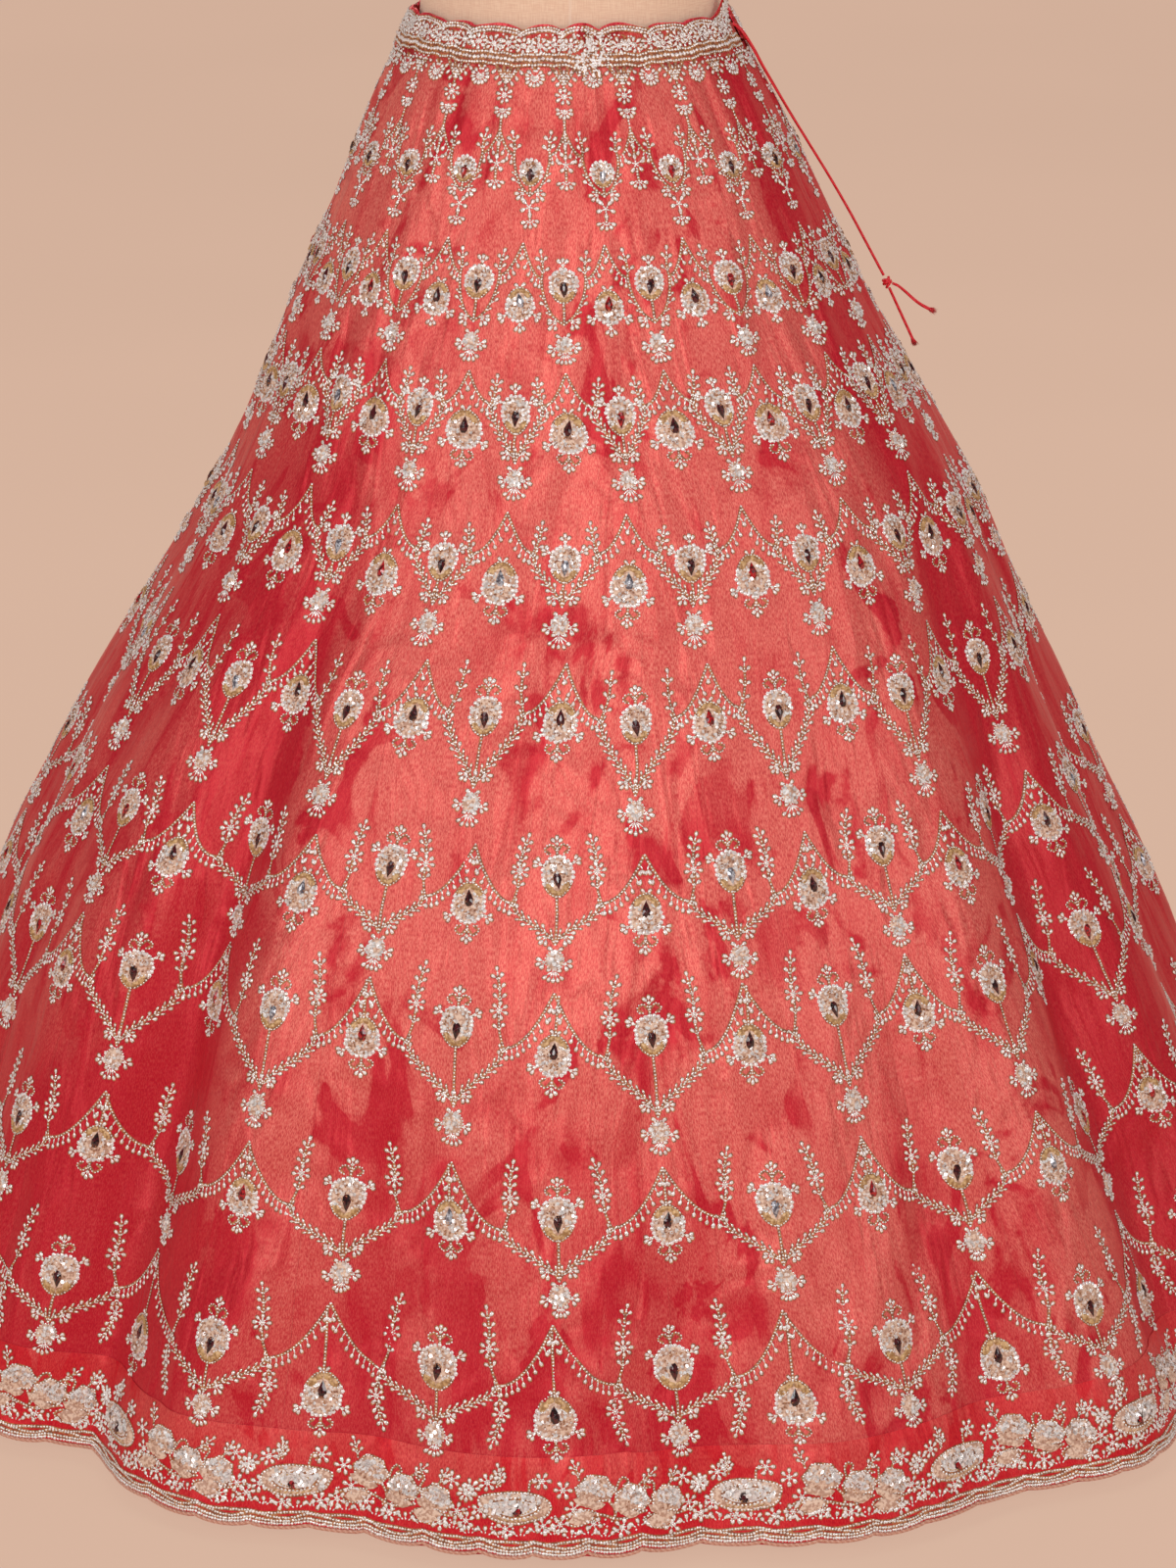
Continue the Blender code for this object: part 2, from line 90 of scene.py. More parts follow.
# creases, given one by one: angle and v at the upper end, angle and v at the
# lower end, half width mm, depth mm, share of the ridge beside it
CREASES = [
    # small pleats under the belt
    (0.5, 0.030, 1.6, 0.125, 3.6, 2.6, 0.8), (4.0, 0.030, 5.2, 0.100, 3.2, 2.2, 0.7),
    (-4.5, 0.030, -3.4, 0.105, 3.4, 1.5, 0.6), (13.0, 0.032, 22.5, 0.092, 4.2, 2.4, 0.8),
    (18.0, 0.034, 27.5, 0.105, 4.0, 1.8, 0.7), (9.0, 0.030, 11.0, 0.110, 3.5, 1.6, 0.6),
    (-12.0, 0.032, -13.5, 0.130, 4.0, 1.1, 0.5), (-21.0, 0.030, -24.0, 0.115, 4.0, 1.3, 0.6),
    (-33.0, 0.030, -36.5, 0.110, 4.2, 1.6, 0.6), (-44.0, 0.032, -46.0, 0.105, 4.0, 1.4, 0.5),
    (-56.0, 0.030, -55.0, 0.120, 4.4, 1.7, 0.6), (31.0, 0.032, 34.0, 0.120, 4.0, 1.3, 0.6),
    (44.0, 0.030, 44.5, 0.125, 4.2, 1.6, 0.6), (58.0, 0.030, 57.0, 0.130, 4.4, 1.8, 0.6),
    # long drags on the upper half
    (-26.0, 0.150, -24.0, 0.260, 5.0, 0.8, 0.5), (27.0, 0.155, 31.0, 0.270, 5.0, 0.9, 0.5),
    (-9.0, 0.215, -10.5, 0.330, 5.0, 0.7, 0.5), (17.0, 0.210, 15.5, 0.330, 5.0, 0.7, 0.5),
    (-40.0, 0.160, -41.0, 0.330, 5.5, 1.5, 0.6), (-52.0, 0.180, -50.0, 0.360, 6.0, 1.8, 0.6),
    (40.0, 0.180, 42.0, 0.340, 5.5, 1.2, 0.5), (52.0, 0.170, 53.0, 0.330, 6.0, 1.7, 0.6),
    (-31.0, 0.280, -33.0, 0.460, 6.0, 1.4, 0.6), (-19.0, 0.290, -22.0, 0.430, 6.0, 1.0, 0.6),
    (3.0, 0.340, 1.0, 0.450, 5.5, 0.8, 0.5), (23.0, 0.330, 20.0, 0.470, 6.0, 1.0, 0.6),
    (33.0, 0.330, 35.0, 0.480, 6.0, 1.3, 0.6), (46.0, 0.350, 47.0, 0.520, 6.5, 1.8, 0.6),
    (63.0, 0.300, 61.0, 0.500, 7.0, 2.2, 0.6), (-62.0, 0.330, -58.0, 0.520, 7.0, 2.4, 0.6),
    # slanting lines between the rows
    (-8.0, 0.525, -13.5, 0.585, 5.5, 1.6, 0.7), (-15.5, 0.522, -19.5, 0.575, 5.0, 1.4, 0.7),
    (-3.0, 0.530, -6.5, 0.600, 5.0, 0.9, 0.6), (16.0, 0.520, 20.0, 0.565, 5.0, 1.2, 0.6),
    (5.0, 0.572, 12.0, 0.560, 5.0, 1.3, 0.7), (-24.0, 0.540, -29.0, 0.620, 6.0, 1.7, 0.7),
    (41.0, 0.590, 38.8, 0.660, 6.0, 1.9, 0.7), (36.0, 0.680, 34.5, 0.760, 6.0, 1.8, 0.7),
    (48.6, 0.600, 48.4, 0.740, 6.5, 2.1, 0.7), (28.0, 0.610, 25.0, 0.690, 6.0, 1.3, 0.6),
    (-13.0, 0.680, -17.0, 0.760, 6.5, 1.6, 0.7), (-28.0, 0.680, -30.0, 0.790, 7.0, 2.2, 0.7),
    (-50.0, 0.560, -49.0, 0.720, 8.0, 2.6, 0.6), (-63.0, 0.620, -64.0, 0.820, 8.0, 2.6, 0.6),
    (14.0, 0.640, 12.0, 0.720, 6.0, 1.0, 0.6), (1.0, 0.700, -1.5, 0.770, 6.0, 1.0, 0.6),
    # near the hem, where it bends and lies in slanting waves
    (10.0, 0.810, -7.0, 0.935, 11.0, 4.2, 0.8), (-24.0, 0.787, -30.0, 0.860, 9.0, 3.6, 0.8),
    (-12.0, 0.830, -19.0, 0.930, 9.0, 3.4, 0.8), (23.0, 0.820, 17.0, 0.925, 10.0, 3.6, 0.8),
    (31.0, 0.790, 26.0, 0.900, 9.0, 3.0, 0.7), (40.0, 0.830, 36.0, 0.950, 10.0, 3.8, 0.8),
    (-36.0, 0.860, -33.0, 0.960, 9.0, 3.2, 0.7), (-1.0, 0.880, 4.0, 0.965, 8.0, 2.4, 0.7),
    (-52.0, 0.800, -53.5, 0.940, 10.0, 3.6, 0.7), (49.0, 0.850, 50.0, 0.960, 9.0, 3.2, 0.7),
    (60.0, 0.780, 61.0, 0.930, 10.0, 3.8, 0.7), (-68.0, 0.800, -66.0, 0.930, 10.0, 3.6, 0.7),
]

# crease kinds for the sides and the back, which aren't seen: v of the upper
# end, v of the lower end, lean (degrees), half width mm, depth mm
HIDDEN_KINDS = [
    (0.030, 0.115, 1.5, 3.8, 1.8), (0.032, 0.095, -2.5, 3.6, 1.4), (0.150, 0.300, 2.0, 5.5, 1.3),
    (0.210, 0.360, -2.0, 5.5, 1.2), (0.320, 0.470, 2.5, 6.0, 1.6), (0.430, 0.560, -3.5, 6.0, 1.7),
    (0.520, 0.640, -4.5, 6.0, 1.7), (0.600, 0.740, 2.0, 6.5, 2.0), (0.690, 0.810, -3.0, 7.0, 2.2),
    (0.800, 0.930, -9.0, 10.0, 3.8), (0.840, 0.950, 5.0, 9.0, 3.0), (0.780, 0.900, -4.0, 9.0, 3.0),
]

# soft hollows on the front, dented into the cloth and painted crimson as shade: angle, v, half width mm, half height
# mm, strength
HOLLOWS = [
    (8.5, 0.548, 26, 5, 0.9), (24.0, 0.435, 18, 12, 0.9), (27.0, 0.455, 12, 18, 0.6),
    (9.5, 0.655, 13, 13, 1.0), (-6.5, 0.705, 22, 10, 1.0), (-4.0, 0.735, 12, 16, 0.8),
    (0.0, 0.742, 14, 20, 0.8), (-11.0, 0.762, 12, 15, 0.8), (-16.0, 0.690, 8, 14, 0.6),
    (-21.0, 0.650, 24, 12, 0.8), (3.5, 0.660, 16, 8, 0.6), (28.5, 0.520, 14, 16, 0.7),
    (-33.0, 0.620, 16, 26, 0.9), (-26.0, 0.700, 14, 20, 0.7), (-12.0, 0.800, 18, 26, 0.9),
    (-29.0, 0.840, 20, 40, 0.9), (-6.0, 0.900, 28, 24, 0.9), (-19.0, 0.880, 22, 22, 0.7),
    (22.0, 0.900, 26, 22, 0.9), (13.0, 0.850, 20, 18, 0.8), (34.0, 0.880, 22, 22, 0.9),
    (29.0, 0.770, 12, 20, 0.7), (3.0, 0.815, 16, 14, 0.6), (41.0, 0.690, 14, 24, 0.9),
    (44.0, 0.560, 14, 30, 0.8), (-46.0, 0.470, 18, 40, 0.8), (-41.0, 0.330, 14, 30, 0.6),
    (-2.0, 0.620, 18, 9, 0.5), (18.0, 0.720, 16, 12, 0.7), (6.0, 0.105, 7, 24, 0.9),
    (1.0, 0.080, 5, 20, 0.8), (18.0, 0.082, 12, 7, 0.9), (26.0, 0.100, 10, 10, 0.7),
    (-13.0, 0.072, 8, 12, 0.6), (-30.0, 0.085, 8, 16, 0.6), (-11.0, 0.245, 9, 20, 0.5),
    (13.0, 0.380, 12, 20, 0.5), (-14.0, 0.420, 12, 22, 0.5), (35.0, 0.300, 12, 24, 0.6),
]

# rows of the trellis: v of apex, swag end, top of the upright sprig, upright
# flower's stone, hanging flower's stone, junction, rosette, tuft's end;
# width and height of the upright and of the hanging flower, mm
ROWS = [
    (.0700, .0867, .0750, .1000, .0925, .1133, .1217, .1383, 17, 22, 0, 0),
    (.1460, .1690, .1550, .1757, .1853, .1997, .2137, .2310, 21, 28, 21, 28),
    (.2333, .2550, .2400, .2633, .2700, .2933, .3033, .3233, 21, 31, 28, 32),
    (.3267, .3530, .3380, .3625, .3703, .3883, .4000, .4217, 22.5, 30, 27, 34),
    (.4250, .4583, .4317, .4633, .4600, .5067, .5167, .5367, 22.5, 31, 25, 32),
    (.5437, .5765, .5360, .5620, .5783, .6030, .6130, .6310, 23, 32, 25, 32),
    (.6327, .6717, .6220, .6618, .6700, .7133, .7233, .7417, 24, 33, 25, 33),
    (.7483, .7870, .7440, .7825, .7835, .8200, .8300, .8440, 26, 35, 25, 32),
    (.8503, .8900, .8417, .8860, .9083, .9183, .9267, .9433, 29, 36, 30, 36),
]
COLUMNS = 20
COLUMN_AT = 6.7
ROW_TURN = (0.0, -0.9, -0.8, -1.6, -0.2, 0.8, 0.8, 0.75, 0.1)      # degrees


# ------------------------------------------------------------------ surface
def smooth(t):
    t = np.clip(t, 0.0, 1.0)
    return t * t * (3.0 - 2.0 * t)


def table(rows, column, v):
    """A column of the table at v, smoothly between its rows."""
    rows = np.asarray(rows, float)
    x, y = rows[:, 0], rows[:, column]
    step = np.diff(y) / np.diff(x)
    slope = np.concatenate([step[:1], 0.5 * (step[1:] + step[:-1]), step[-1:]])
    v = np.asarray(v, float)
    i = np.clip(np.searchsorted(x, v, side="left") - 1, 0, len(x) - 2)
    h = x[i + 1] - x[i]
    t = (v - x[i]) / h
    inside = ((2 * t ** 3 - 3 * t ** 2 + 1) * y[i] + (t ** 3 - 2 * t ** 2 + t) * h * slope[i]
              + (-2 * t ** 3 + 3 * t ** 2) * y[i + 1] + (t ** 3 - t ** 2) * h * slope[i + 1])
    inside = np.where(v > x[-1], y[-1] + step[-1] * (v - x[-1]), inside)
    return np.where(v <= x[0], y[0], inside)


def wrap(angle):
    return (np.asarray(angle, float) + 180.0) % 360.0 - 180.0


def fold(angle, v):
    """Metres that the large folds push the cloth out."""
    push = np.zeros(np.broadcast(angle, v).shape)
    for at, drift, half, v_start, v_full, depth in FOLDS:
        away = wrap(angle - at - drift * (1.0 - v))
        push += (0.001 * depth * smooth((v - v_start) / (v_full - v_start))
                 * np.exp(-(away / half) ** 2) * (np.abs(away) < 3.2 * half))
    return push


def depth_ratio(v):
    return DEPTH_AT_WAIST + (DEPTH_AT_HEM - DEPTH_AT_WAIST) * np.clip(
        np.maximum(v, 0.0) / DEPTH_FULL_V, 0.0, 1.0)


def mm_per_degree(angle, v):
    """Arc length of one degree round the skirt, folds left out."""
    half, ratio, a = table(RINGS, 2, v), depth_ratio(v), np.radians(angle)
    return 1000.0 * half * np.hypot(np.cos(a), ratio * np.sin(a)) * math.pi / 180.0


hidden = np.random.default_rng(77)
CREASE_ROWS = list(CREASES)
for turn in range(30):
    centre = 76.0 + 208.0 * (turn + 0.5) / 30.0
    for k in range(turn % 2, len(HIDDEN_KINDS), 2):
        top, end, lean, half_mm, deep = HIDDEN_KINDS[k]
        a = centre + hidden.uniform(-4.5, 4.5)
        s = hidden.uniform(-0.02, 0.02) if top > 0.1 else 0.0
        CREASE_ROWS.append((a, top + s, a + lean * hidden.uniform(0.4, 1.2), end + s * 0.5,
                            half_mm * hidden.uniform(0.85, 1.2), deep * hidden.uniform(0.6, 1.2),
                            0.6))
HOLLOW_ROWS = list(HOLLOWS)
for turn in range(150):
    a = hidden.uniform(62.0, 298.0)
    HOLLOW_ROWS.append((a, hidden.uniform(0.10, 0.96), hidden.uniform(10, 26),
                        hidden.uniform(9, 30), hidden.uniform(0.5, 0.95)))
# soft waves of the whole cloth: waves round, waves down, phase, depth mm
WAVES = [(hidden.integers(14, 46), hidden.uniform(2.0, 7.5), hidden.uniform(0, 6.28),
          hidden.uniform(0.16, 0.40)) for turn in range(16)]


def creases(angle, v):
    """Millimetres of the smaller creases, in (-) or out (+)."""
    push = np.zeros(np.broadcast(angle, v).shape)
    for a0, v0, a1, v1, half, depth, ridge in CREASE_ROWS:
        t = (v - v0) / (v1 - v0)
        near = (t > 0) & (t < 1)
        if not near.any():
            continue
        bend = 0.10 * (a1 - a0) * np.sin(math.pi * np.clip(t, 0, 1))
        away = wrap(angle - a0 - (a1 - a0) * t - bend) * mm_per_degree(a0, np.clip(v, 0, 1))
        live = smooth(t / 0.3) * smooth((1 - t) / 0.35) * near
        push += live * depth * (-np.exp(-(away / half) ** 2)
                                + ridge * np.exp(-((away - 1.9 * half) / (1.5 * half)) ** 2))
    return push


def hollows(angle, v):
    """0 to 1: how much a place lies in one of the soft hollows."""
    deep = np.zeros(np.broadcast(angle, v).shape)
    for a, at, half_w, half_h, strength in HOLLOW_ROWS:
        x = wrap(angle - a) * mm_per_degree(a, at)
        y = (v - at) * SLANT
        x = x + 0.35 * y * math.sin(a * 1.7)
        deep = np.maximum(deep, strength * np.exp(-((x / half_w) ** 2 + (y / half_h) ** 2)))
    return deep


def waves(angle, v):
    push = np.zeros(np.broadcast(angle, v).shape)
    for round_, down, phase, depth in WAVES:
        push += depth * np.sin(np.radians(angle) * round_ + 6.283 * down * v + phase
                               + 1.3 * np.sin(4.0 * v + phase))
    return push * smooth((v - 0.04) / 0.2)


def hem_wave(angle):
    """-1 to 1 round the hem's scallops; +1 hangs lowest."""
    a = np.radians(angle)
    place = SCALLOPS * a / 2.0 + 0.35 * np.sin(7 * a) + 0.2 * np.sin(17 * a + 1.0)
    size = 0.85 + 0.25 * np.sin(5 * a + 2.0) + 0.12 * np.sin(23 * a)
    return (1.9 * np.sqrt(np.abs(np.sin(place)) + 0.02) - 1.15) * size


def surface(angle, v, scallops=1.0):
    """Points of the cloth's outer side, shape (..., 3), metres."""
    angle, v = np.broadcast_arrays(np.asarray(angle, float), np.asarray(v, float))
    half, ratio, a = table(RINGS, 2, v), depth_ratio(v), np.radians(angle)
    out = np.stack([np.sin(a) * ratio, -np.cos(a), np.zeros_like(a)], -1)
    out /= np.linalg.norm(out, axis=-1, keepdims=True)
    spot = np.stack([table(RINGS, 1, v) + half * np.sin(a), -ratio * half * np.cos(a),
                     WAIST_Z - SKIRT_DROP * v], -1)
    push = fold(angle, v) + 0.001 * (creases(angle, v) + waves(angle, v)
                                     - 1.9 * hollows(angle, v))
    spot = spot + out * push[..., None]
    spot[..., 2] -= scallops * 0.001 * SCALLOP_DEPTH * hem_wave(angle) * smooth((v - 0.962) / 0.038)
    return spot


class Cloth:
    """A grid of points on a cloth, from which what is sewn on takes its place."""

    def __init__(self, angle0, step, row0, row_step, points, closed, mm_row):
        self.angle0, self.step, self.row0, self.row_step = angle0, step, row0, row_step
        self.p, self.closed, self.mm_row = points, closed, mm_row
        if closed:
            around = np.roll(points, -1, 0) - np.roll(points, 1, 0)
        else:
            around = np.gradient(points, axis=0)
        down = np.gradient(points, axis=1)
        n = np.cross(down, around)
        self.n = n / np.linalg.norm(n, axis=-1, keepdims=True)

    def sample(self, angle, row):
        """Point, normal, direction round and direction up at each place."""
        cols, rows = self.p.shape[:2]
        c = (angle - self.angle0) / self.step
        c = c % cols if self.closed else np.clip(c, 0.0, cols - 1.001)
        r = np.clip((row - self.row0) / self.row_step, 0.0, rows - 1.001)
        i, j = np.floor(c).astype(int) % cols, np.floor(r).astype(int)
        k = (i + 1) % cols
        a, b = (c - np.floor(c))[:, None], (r - j)[:, None]
        p = ((self.p[i, j] * (1 - a) + self.p[k, j] * a) * (1 - b)
             + (self.p[i, j + 1] * (1 - a) + self.p[k, j + 1] * a) * b)
        n = ((self.n[i, j] * (1 - a) + self.n[k, j] * a) * (1 - b)
             + (self.n[i, j + 1] * (1 - a) + self.n[k, j + 1] * a) * b)
        n /= np.linalg.norm(n, axis=1, keepdims=True)
        t = self.p[k, j] - self.p[i, j]
        t -= n * (t * n).sum(1, keepdims=True)
        t /= np.linalg.norm(t, axis=1, keepdims=True)
        return p, n, t, np.cross(n, t)

    def mm_deg(self, angle, row):
        return mm_per_degree(angle, row if self.mm_row > 2.0 else row / SLANT)


SKIRT_COLS, SKIRT_ROWS = 348, 66
skirt_angles = SEAM_AT + np.arange(SKIRT_COLS) * 360.0 / SKIRT_COLS
skirt_v = np.linspace(PANEL_TOP_V, 0.9966, SKIRT_ROWS)
skirt_points = surface(skirt_angles[:, None], skirt_v[None, :], 0.0)
SKIRT = Cloth(SEAM_AT, 360.0 / SKIRT_COLS, PANEL_TOP_V, skirt_v[1] - skirt_v[0], skirt_points,
              True, SLANT)

HEM_COLS = 1056
hem_v = np.linspace(0.900, 1.0, 27)
HEM = Cloth(SEAM_AT, 360.0 / HEM_COLS, 0.900, hem_v[1] - hem_v[0],
            surface((SEAM_AT + np.arange(HEM_COLS) * 360.0 / HEM_COLS)[:, None],
                    hem_v[None, :]), True, SLANT)


# the belt: rows are millimetres down from v = 0; above that it stands straight up
def belt_pinch(angle):
    """Millimetres that the bunched place at the front is drawn in."""
    away = wrap(angle - 6.3) * 2.15
    return (-2.6 * np.exp(-(away / 3.4) ** 2) + 1.3 * np.exp(-((away - 7.0) / 4.0) ** 2)
            + 1.2 * np.exp(-((away + 7.0) / 4.0) ** 2)
            + 0.5 * np.sin(np.radians(angle) * 31 + 1.0) + 0.4 * np.sin(np.radians(angle) * 19))


BELT_COLS = 960
belt_rows = np.arange(-22.0, 46.1, 2.0)
belt_angles = np.arange(BELT_COLS) * 360.0 / BELT_COLS
grid_a, grid_y = belt_angles[:, None] + 0 * belt_rows[None, :], belt_rows[None, :] + 0 * belt_angles[:, None]
belt_points = surface(grid_a, np.maximum(grid_y, 0.0) / 1165.0)
belt_points[..., 2] += 0.001 * np.maximum(-grid_y, 0.0)
belt_out = np.stack([np.sin(np.radians(grid_a)) * 0.78, -np.cos(np.radians(grid_a)),
                     0 * grid_a], -1)
belt_out /= np.linalg.norm(belt_out, axis=-1, keepdims=True)
belt_points += belt_out * (0.001 * belt_pinch(grid_a)
                           * smooth((34.0 - grid_y) / 20.0))[..., None]
BELT = Cloth(0.0, 360.0 / BELT_COLS, -22.0, 2.0, belt_points, True, 1.0)


# ------------------------------------------------------------------ meshes
def make_mesh(name, verts, faces, materials, face_material=None, smooth_faces=True, uv=None,
              tones=None):
    """faces is (n, 3) or (n, 4); uv is per corner, (n, 3 or 4, 2)."""
    faces = np.asarray(faces, np.int32)
    mesh = bpy.data.meshes.new(name)
    mesh.vertices.add(len(verts))
    mesh.vertices.foreach_set("co", np.asarray(verts, np.float32).ravel())
    mesh.loops.add(faces.size)
    mesh.loops.foreach_set("vertex_index", faces.ravel())
    mesh.polygons.add(len(faces))
    mesh.polygons.foreach_set("loop_start", np.arange(0, faces.size, faces.shape[1], dtype=np.int32))
    if face_material is not None:
        mesh.polygons.foreach_set("material_index", np.asarray(face_material, np.int32))
    smooth_flags = (np.full(len(faces), smooth_faces) if np.isscalar(smooth_faces)
                    else np.asarray(smooth_faces))
    mesh.polygons.foreach_set("use_smooth", smooth_flags.astype(bool))
    for mat in materials:
        mesh.materials.append(mat)
    if uv is not None:
        layer = mesh.uv_layers.new(name="cloth")
        layer.data.foreach_set("uv", np.asarray(uv, np.float32).ravel())
    for key, values in (tones or {}).items():
        mesh.attributes.new(key, "FLOAT", "POINT").data.foreach_set(
            "value", np.asarray(values, np.float32).ravel())
    mesh.update(calc_edges=True)
    mesh.validate()
    obj = bpy.data.objects.new(name, mesh)
    bpy.context.scene.collection.objects.link(obj)
    return obj


def shell(name, outer, inner, u, w, mat, closed=False, tones=None):
    """A thin closed cloth between two grids; u and w are metres across and down."""
    cols, rows = outer.shape[:2]
    last = cols if closed else cols - 1
    i, j = np.meshgrid(np.arange(last), np.arange(rows - 1), indexing="ij")
    i, j = i.ravel(), j.ravel()
    corner_i = np.stack([i, i, i + 1, i + 1], 1)
    corner_j = np.stack([j, j + 1, j + 1, j], 1)
    half = cols * rows
    out_faces = (corner_i % cols) * rows + corner_j
    in_i, in_j = corner_i[:, ::-1], corner_j[:, ::-1]
    in_faces = half + (in_i % cols) * rows + in_j
    step = np.arange(last)
    nxt = (step + 1) % cols
    top = np.stack([step * rows, nxt * rows, half + nxt * rows, half + step * rows], 1)
    end = rows - 1
    low = np.stack([nxt * rows + end, step * rows + end, half + step * rows + end,
                    half + nxt * rows + end], 1)
    faces = [out_faces, in_faces, top, low]
    ci = [corner_i, in_i, np.stack([step, step + 1, step + 1, step], 1),
          np.stack([step + 1, step, step, step + 1], 1)]
    cj = [corner_j, in_j, np.zeros((last, 4), int), np.full((last, 4), end)]
    if not closed:
        k = np.arange(rows - 1)
        e = (cols - 1) * rows
        faces += [np.stack([k + 1, k, half + k, half + k + 1], 1),
                  np.stack([e + k, e + k + 1, half + e + k + 1, half + e + k], 1)]
        ci += [np.zeros((rows - 1, 4), int), np.full((rows - 1, 4), cols - 1)]
        cj += [np.stack([k + 1, k, k, k + 1], 1), np.stack([k, k + 1, k + 1, k], 1)]
    ci, cj = np.concatenate(ci), np.concatenate(cj)
    uv = np.stack([u[ci, cj], w[ci, cj]], -1)
    verts = np.concatenate([outer.reshape(-1, 3), inner.reshape(-1, 3)])
    if tones:
        tones = {key: np.concatenate([t.ravel(), t.ravel()]) for key, t in tones.items()}
    obj = make_mesh(name, verts, np.concatenate(faces), [mat], uv=uv, tones=tones)
    # the thin rims don't bend the shading of the face
    obj.data.set_sharp_from_angle(angle=math.radians(38.0))
    return obj


# ------------------------------------------------------------------ materials
class Look:
    """A material with its nodes at hand."""

    def __init__(self, name):
        self.mat = bpy.data.materials.new(name)
        self.mat.use_nodes = True
        self.tree = self.mat.node_tree
        self.bsdf = self.tree.nodes["Principled BSDF"]

    def node(self, kind, **settings):
        n = self.tree.nodes.new(kind)
        for key, value in settings.items():
            setattr(n, key, value)
        return n

    def link(self, a, b):
        self.tree.links.new(a, b)

    def set(self, **values):
        names = {"color": "Base Color", "rough": "Roughness", "metal": "Metallic", "ior": "IOR",
                 "tint": "Specular Tint", "sheen": "Sheen Weight", "sheen_rough": "Sheen Roughness",
                 "sheen_tint": "Sheen Tint", "spec": "Specular IOR Level", "coat": "Coat Weight",
                 "coat_rough": "Coat Roughness", "trans": "Transmission Weight"}
        for key, value in values.items():
            socket = self.bsdf.inputs[names[key]]
            socket.default_value = (*value, 1.0) if isinstance(value, tuple) else value
        return self

    def math(self, operation, a, b=None, clamp=False):
        n = self.node("ShaderNodeMath", operation=operation, use_clamp=clamp)
        for k, value in enumerate((a, b)):
            if value is None:
                continue
            if isinstance(value, (int, float)):
                n.inputs[k].default_value = value
            else:
                self.link(value, n.inputs[k])
        return n.outputs[0]

    def ramp(self, value, low, high, out_low=0.0, out_high=1.0):
        n = self.node("ShaderNodeMapRange", interpolation_type="SMOOTHSTEP")
        self.link(value, n.inputs["Value"])
        n.inputs["From Min"].default_value = low
        n.inputs["From Max"].default_value = high
        n.inputs["To Min"].default_value = out_low
        n.inputs["To Max"].default_value = out_high
        return n.outputs["Result"]

    def mix(self, share, a, b, mode="MIX"):
        n = self.node("ShaderNodeMix", data_type="RGBA", blend_type=mode)
        for socket, value in ((n.inputs[0], share), (n.inputs[6], a), (n.inputs[7], b)):
            if isinstance(value, tuple):
                socket.default_value = (*value, 1.0)
            elif isinstance(value, (int, float)):
                socket.default_value = value
            else:
                self.link(value, socket)
        return n.outputs[2]

    def coords(self, kind, scale, name="cloth"):
        if kind == "UV":
            source = self.node("ShaderNodeUVMap", uv_map=name).outputs[0]
        else:
            source = self.node("ShaderNodeTexCoord").outputs["Object"]
        m = self.node("ShaderNodeMapping")
        self.link(source, m.inputs["Vector"])
        m.inputs["Scale"].default_value = scale
        return m.outputs[0]

    def noise(self, vector, scale=1.0, detail=2.0, rough=0.5, distortion=0.0):
        n = self.node("ShaderNodeTexNoise")
        self.link(vector, n.inputs["Vector"])
        n.inputs["Scale"].default_value = scale
        n.inputs["Detail"].default_value = detail
        n.inputs["Roughness"].default_value = rough
        n.inputs["Distortion"].default_value = distortion
        return n.outputs["Fac"]

    def wave(self, vector, scale=1.0, distortion=0.0, direction="X"):
        n = self.node("ShaderNodeTexWave", bands_direction=direction)
        self.link(vector, n.inputs["Vector"])
        n.inputs["Scale"].default_value = scale
        n.inputs["Distortion"].default_value = distortion
        return n.outputs["Fac"]

    def attribute(self, name):
        return self.node("ShaderNodeAttribute", attribute_name=name).outputs["Fac"]

    def bump(self, height, distance, strength=1.0, normal=None):
        n = self.node("ShaderNodeBump")
        n.inputs["Distance"].default_value = distance
        n.inputs["Strength"].default_value = strength
        self.link(height, n.inputs["Height"])
        if normal is not None:
            self.link(normal, n.inputs["Normal"])
        return n.outputs[0]

    def color(self, socket):
        self.link(socket, self.bsdf.inputs["Base Color"])

    def rough(self, socket):
        self.link(socket, self.bsdf.inputs["Roughness"])

    def normal(self, socket):
        self.link(socket, self.bsdf.inputs["Normal"])


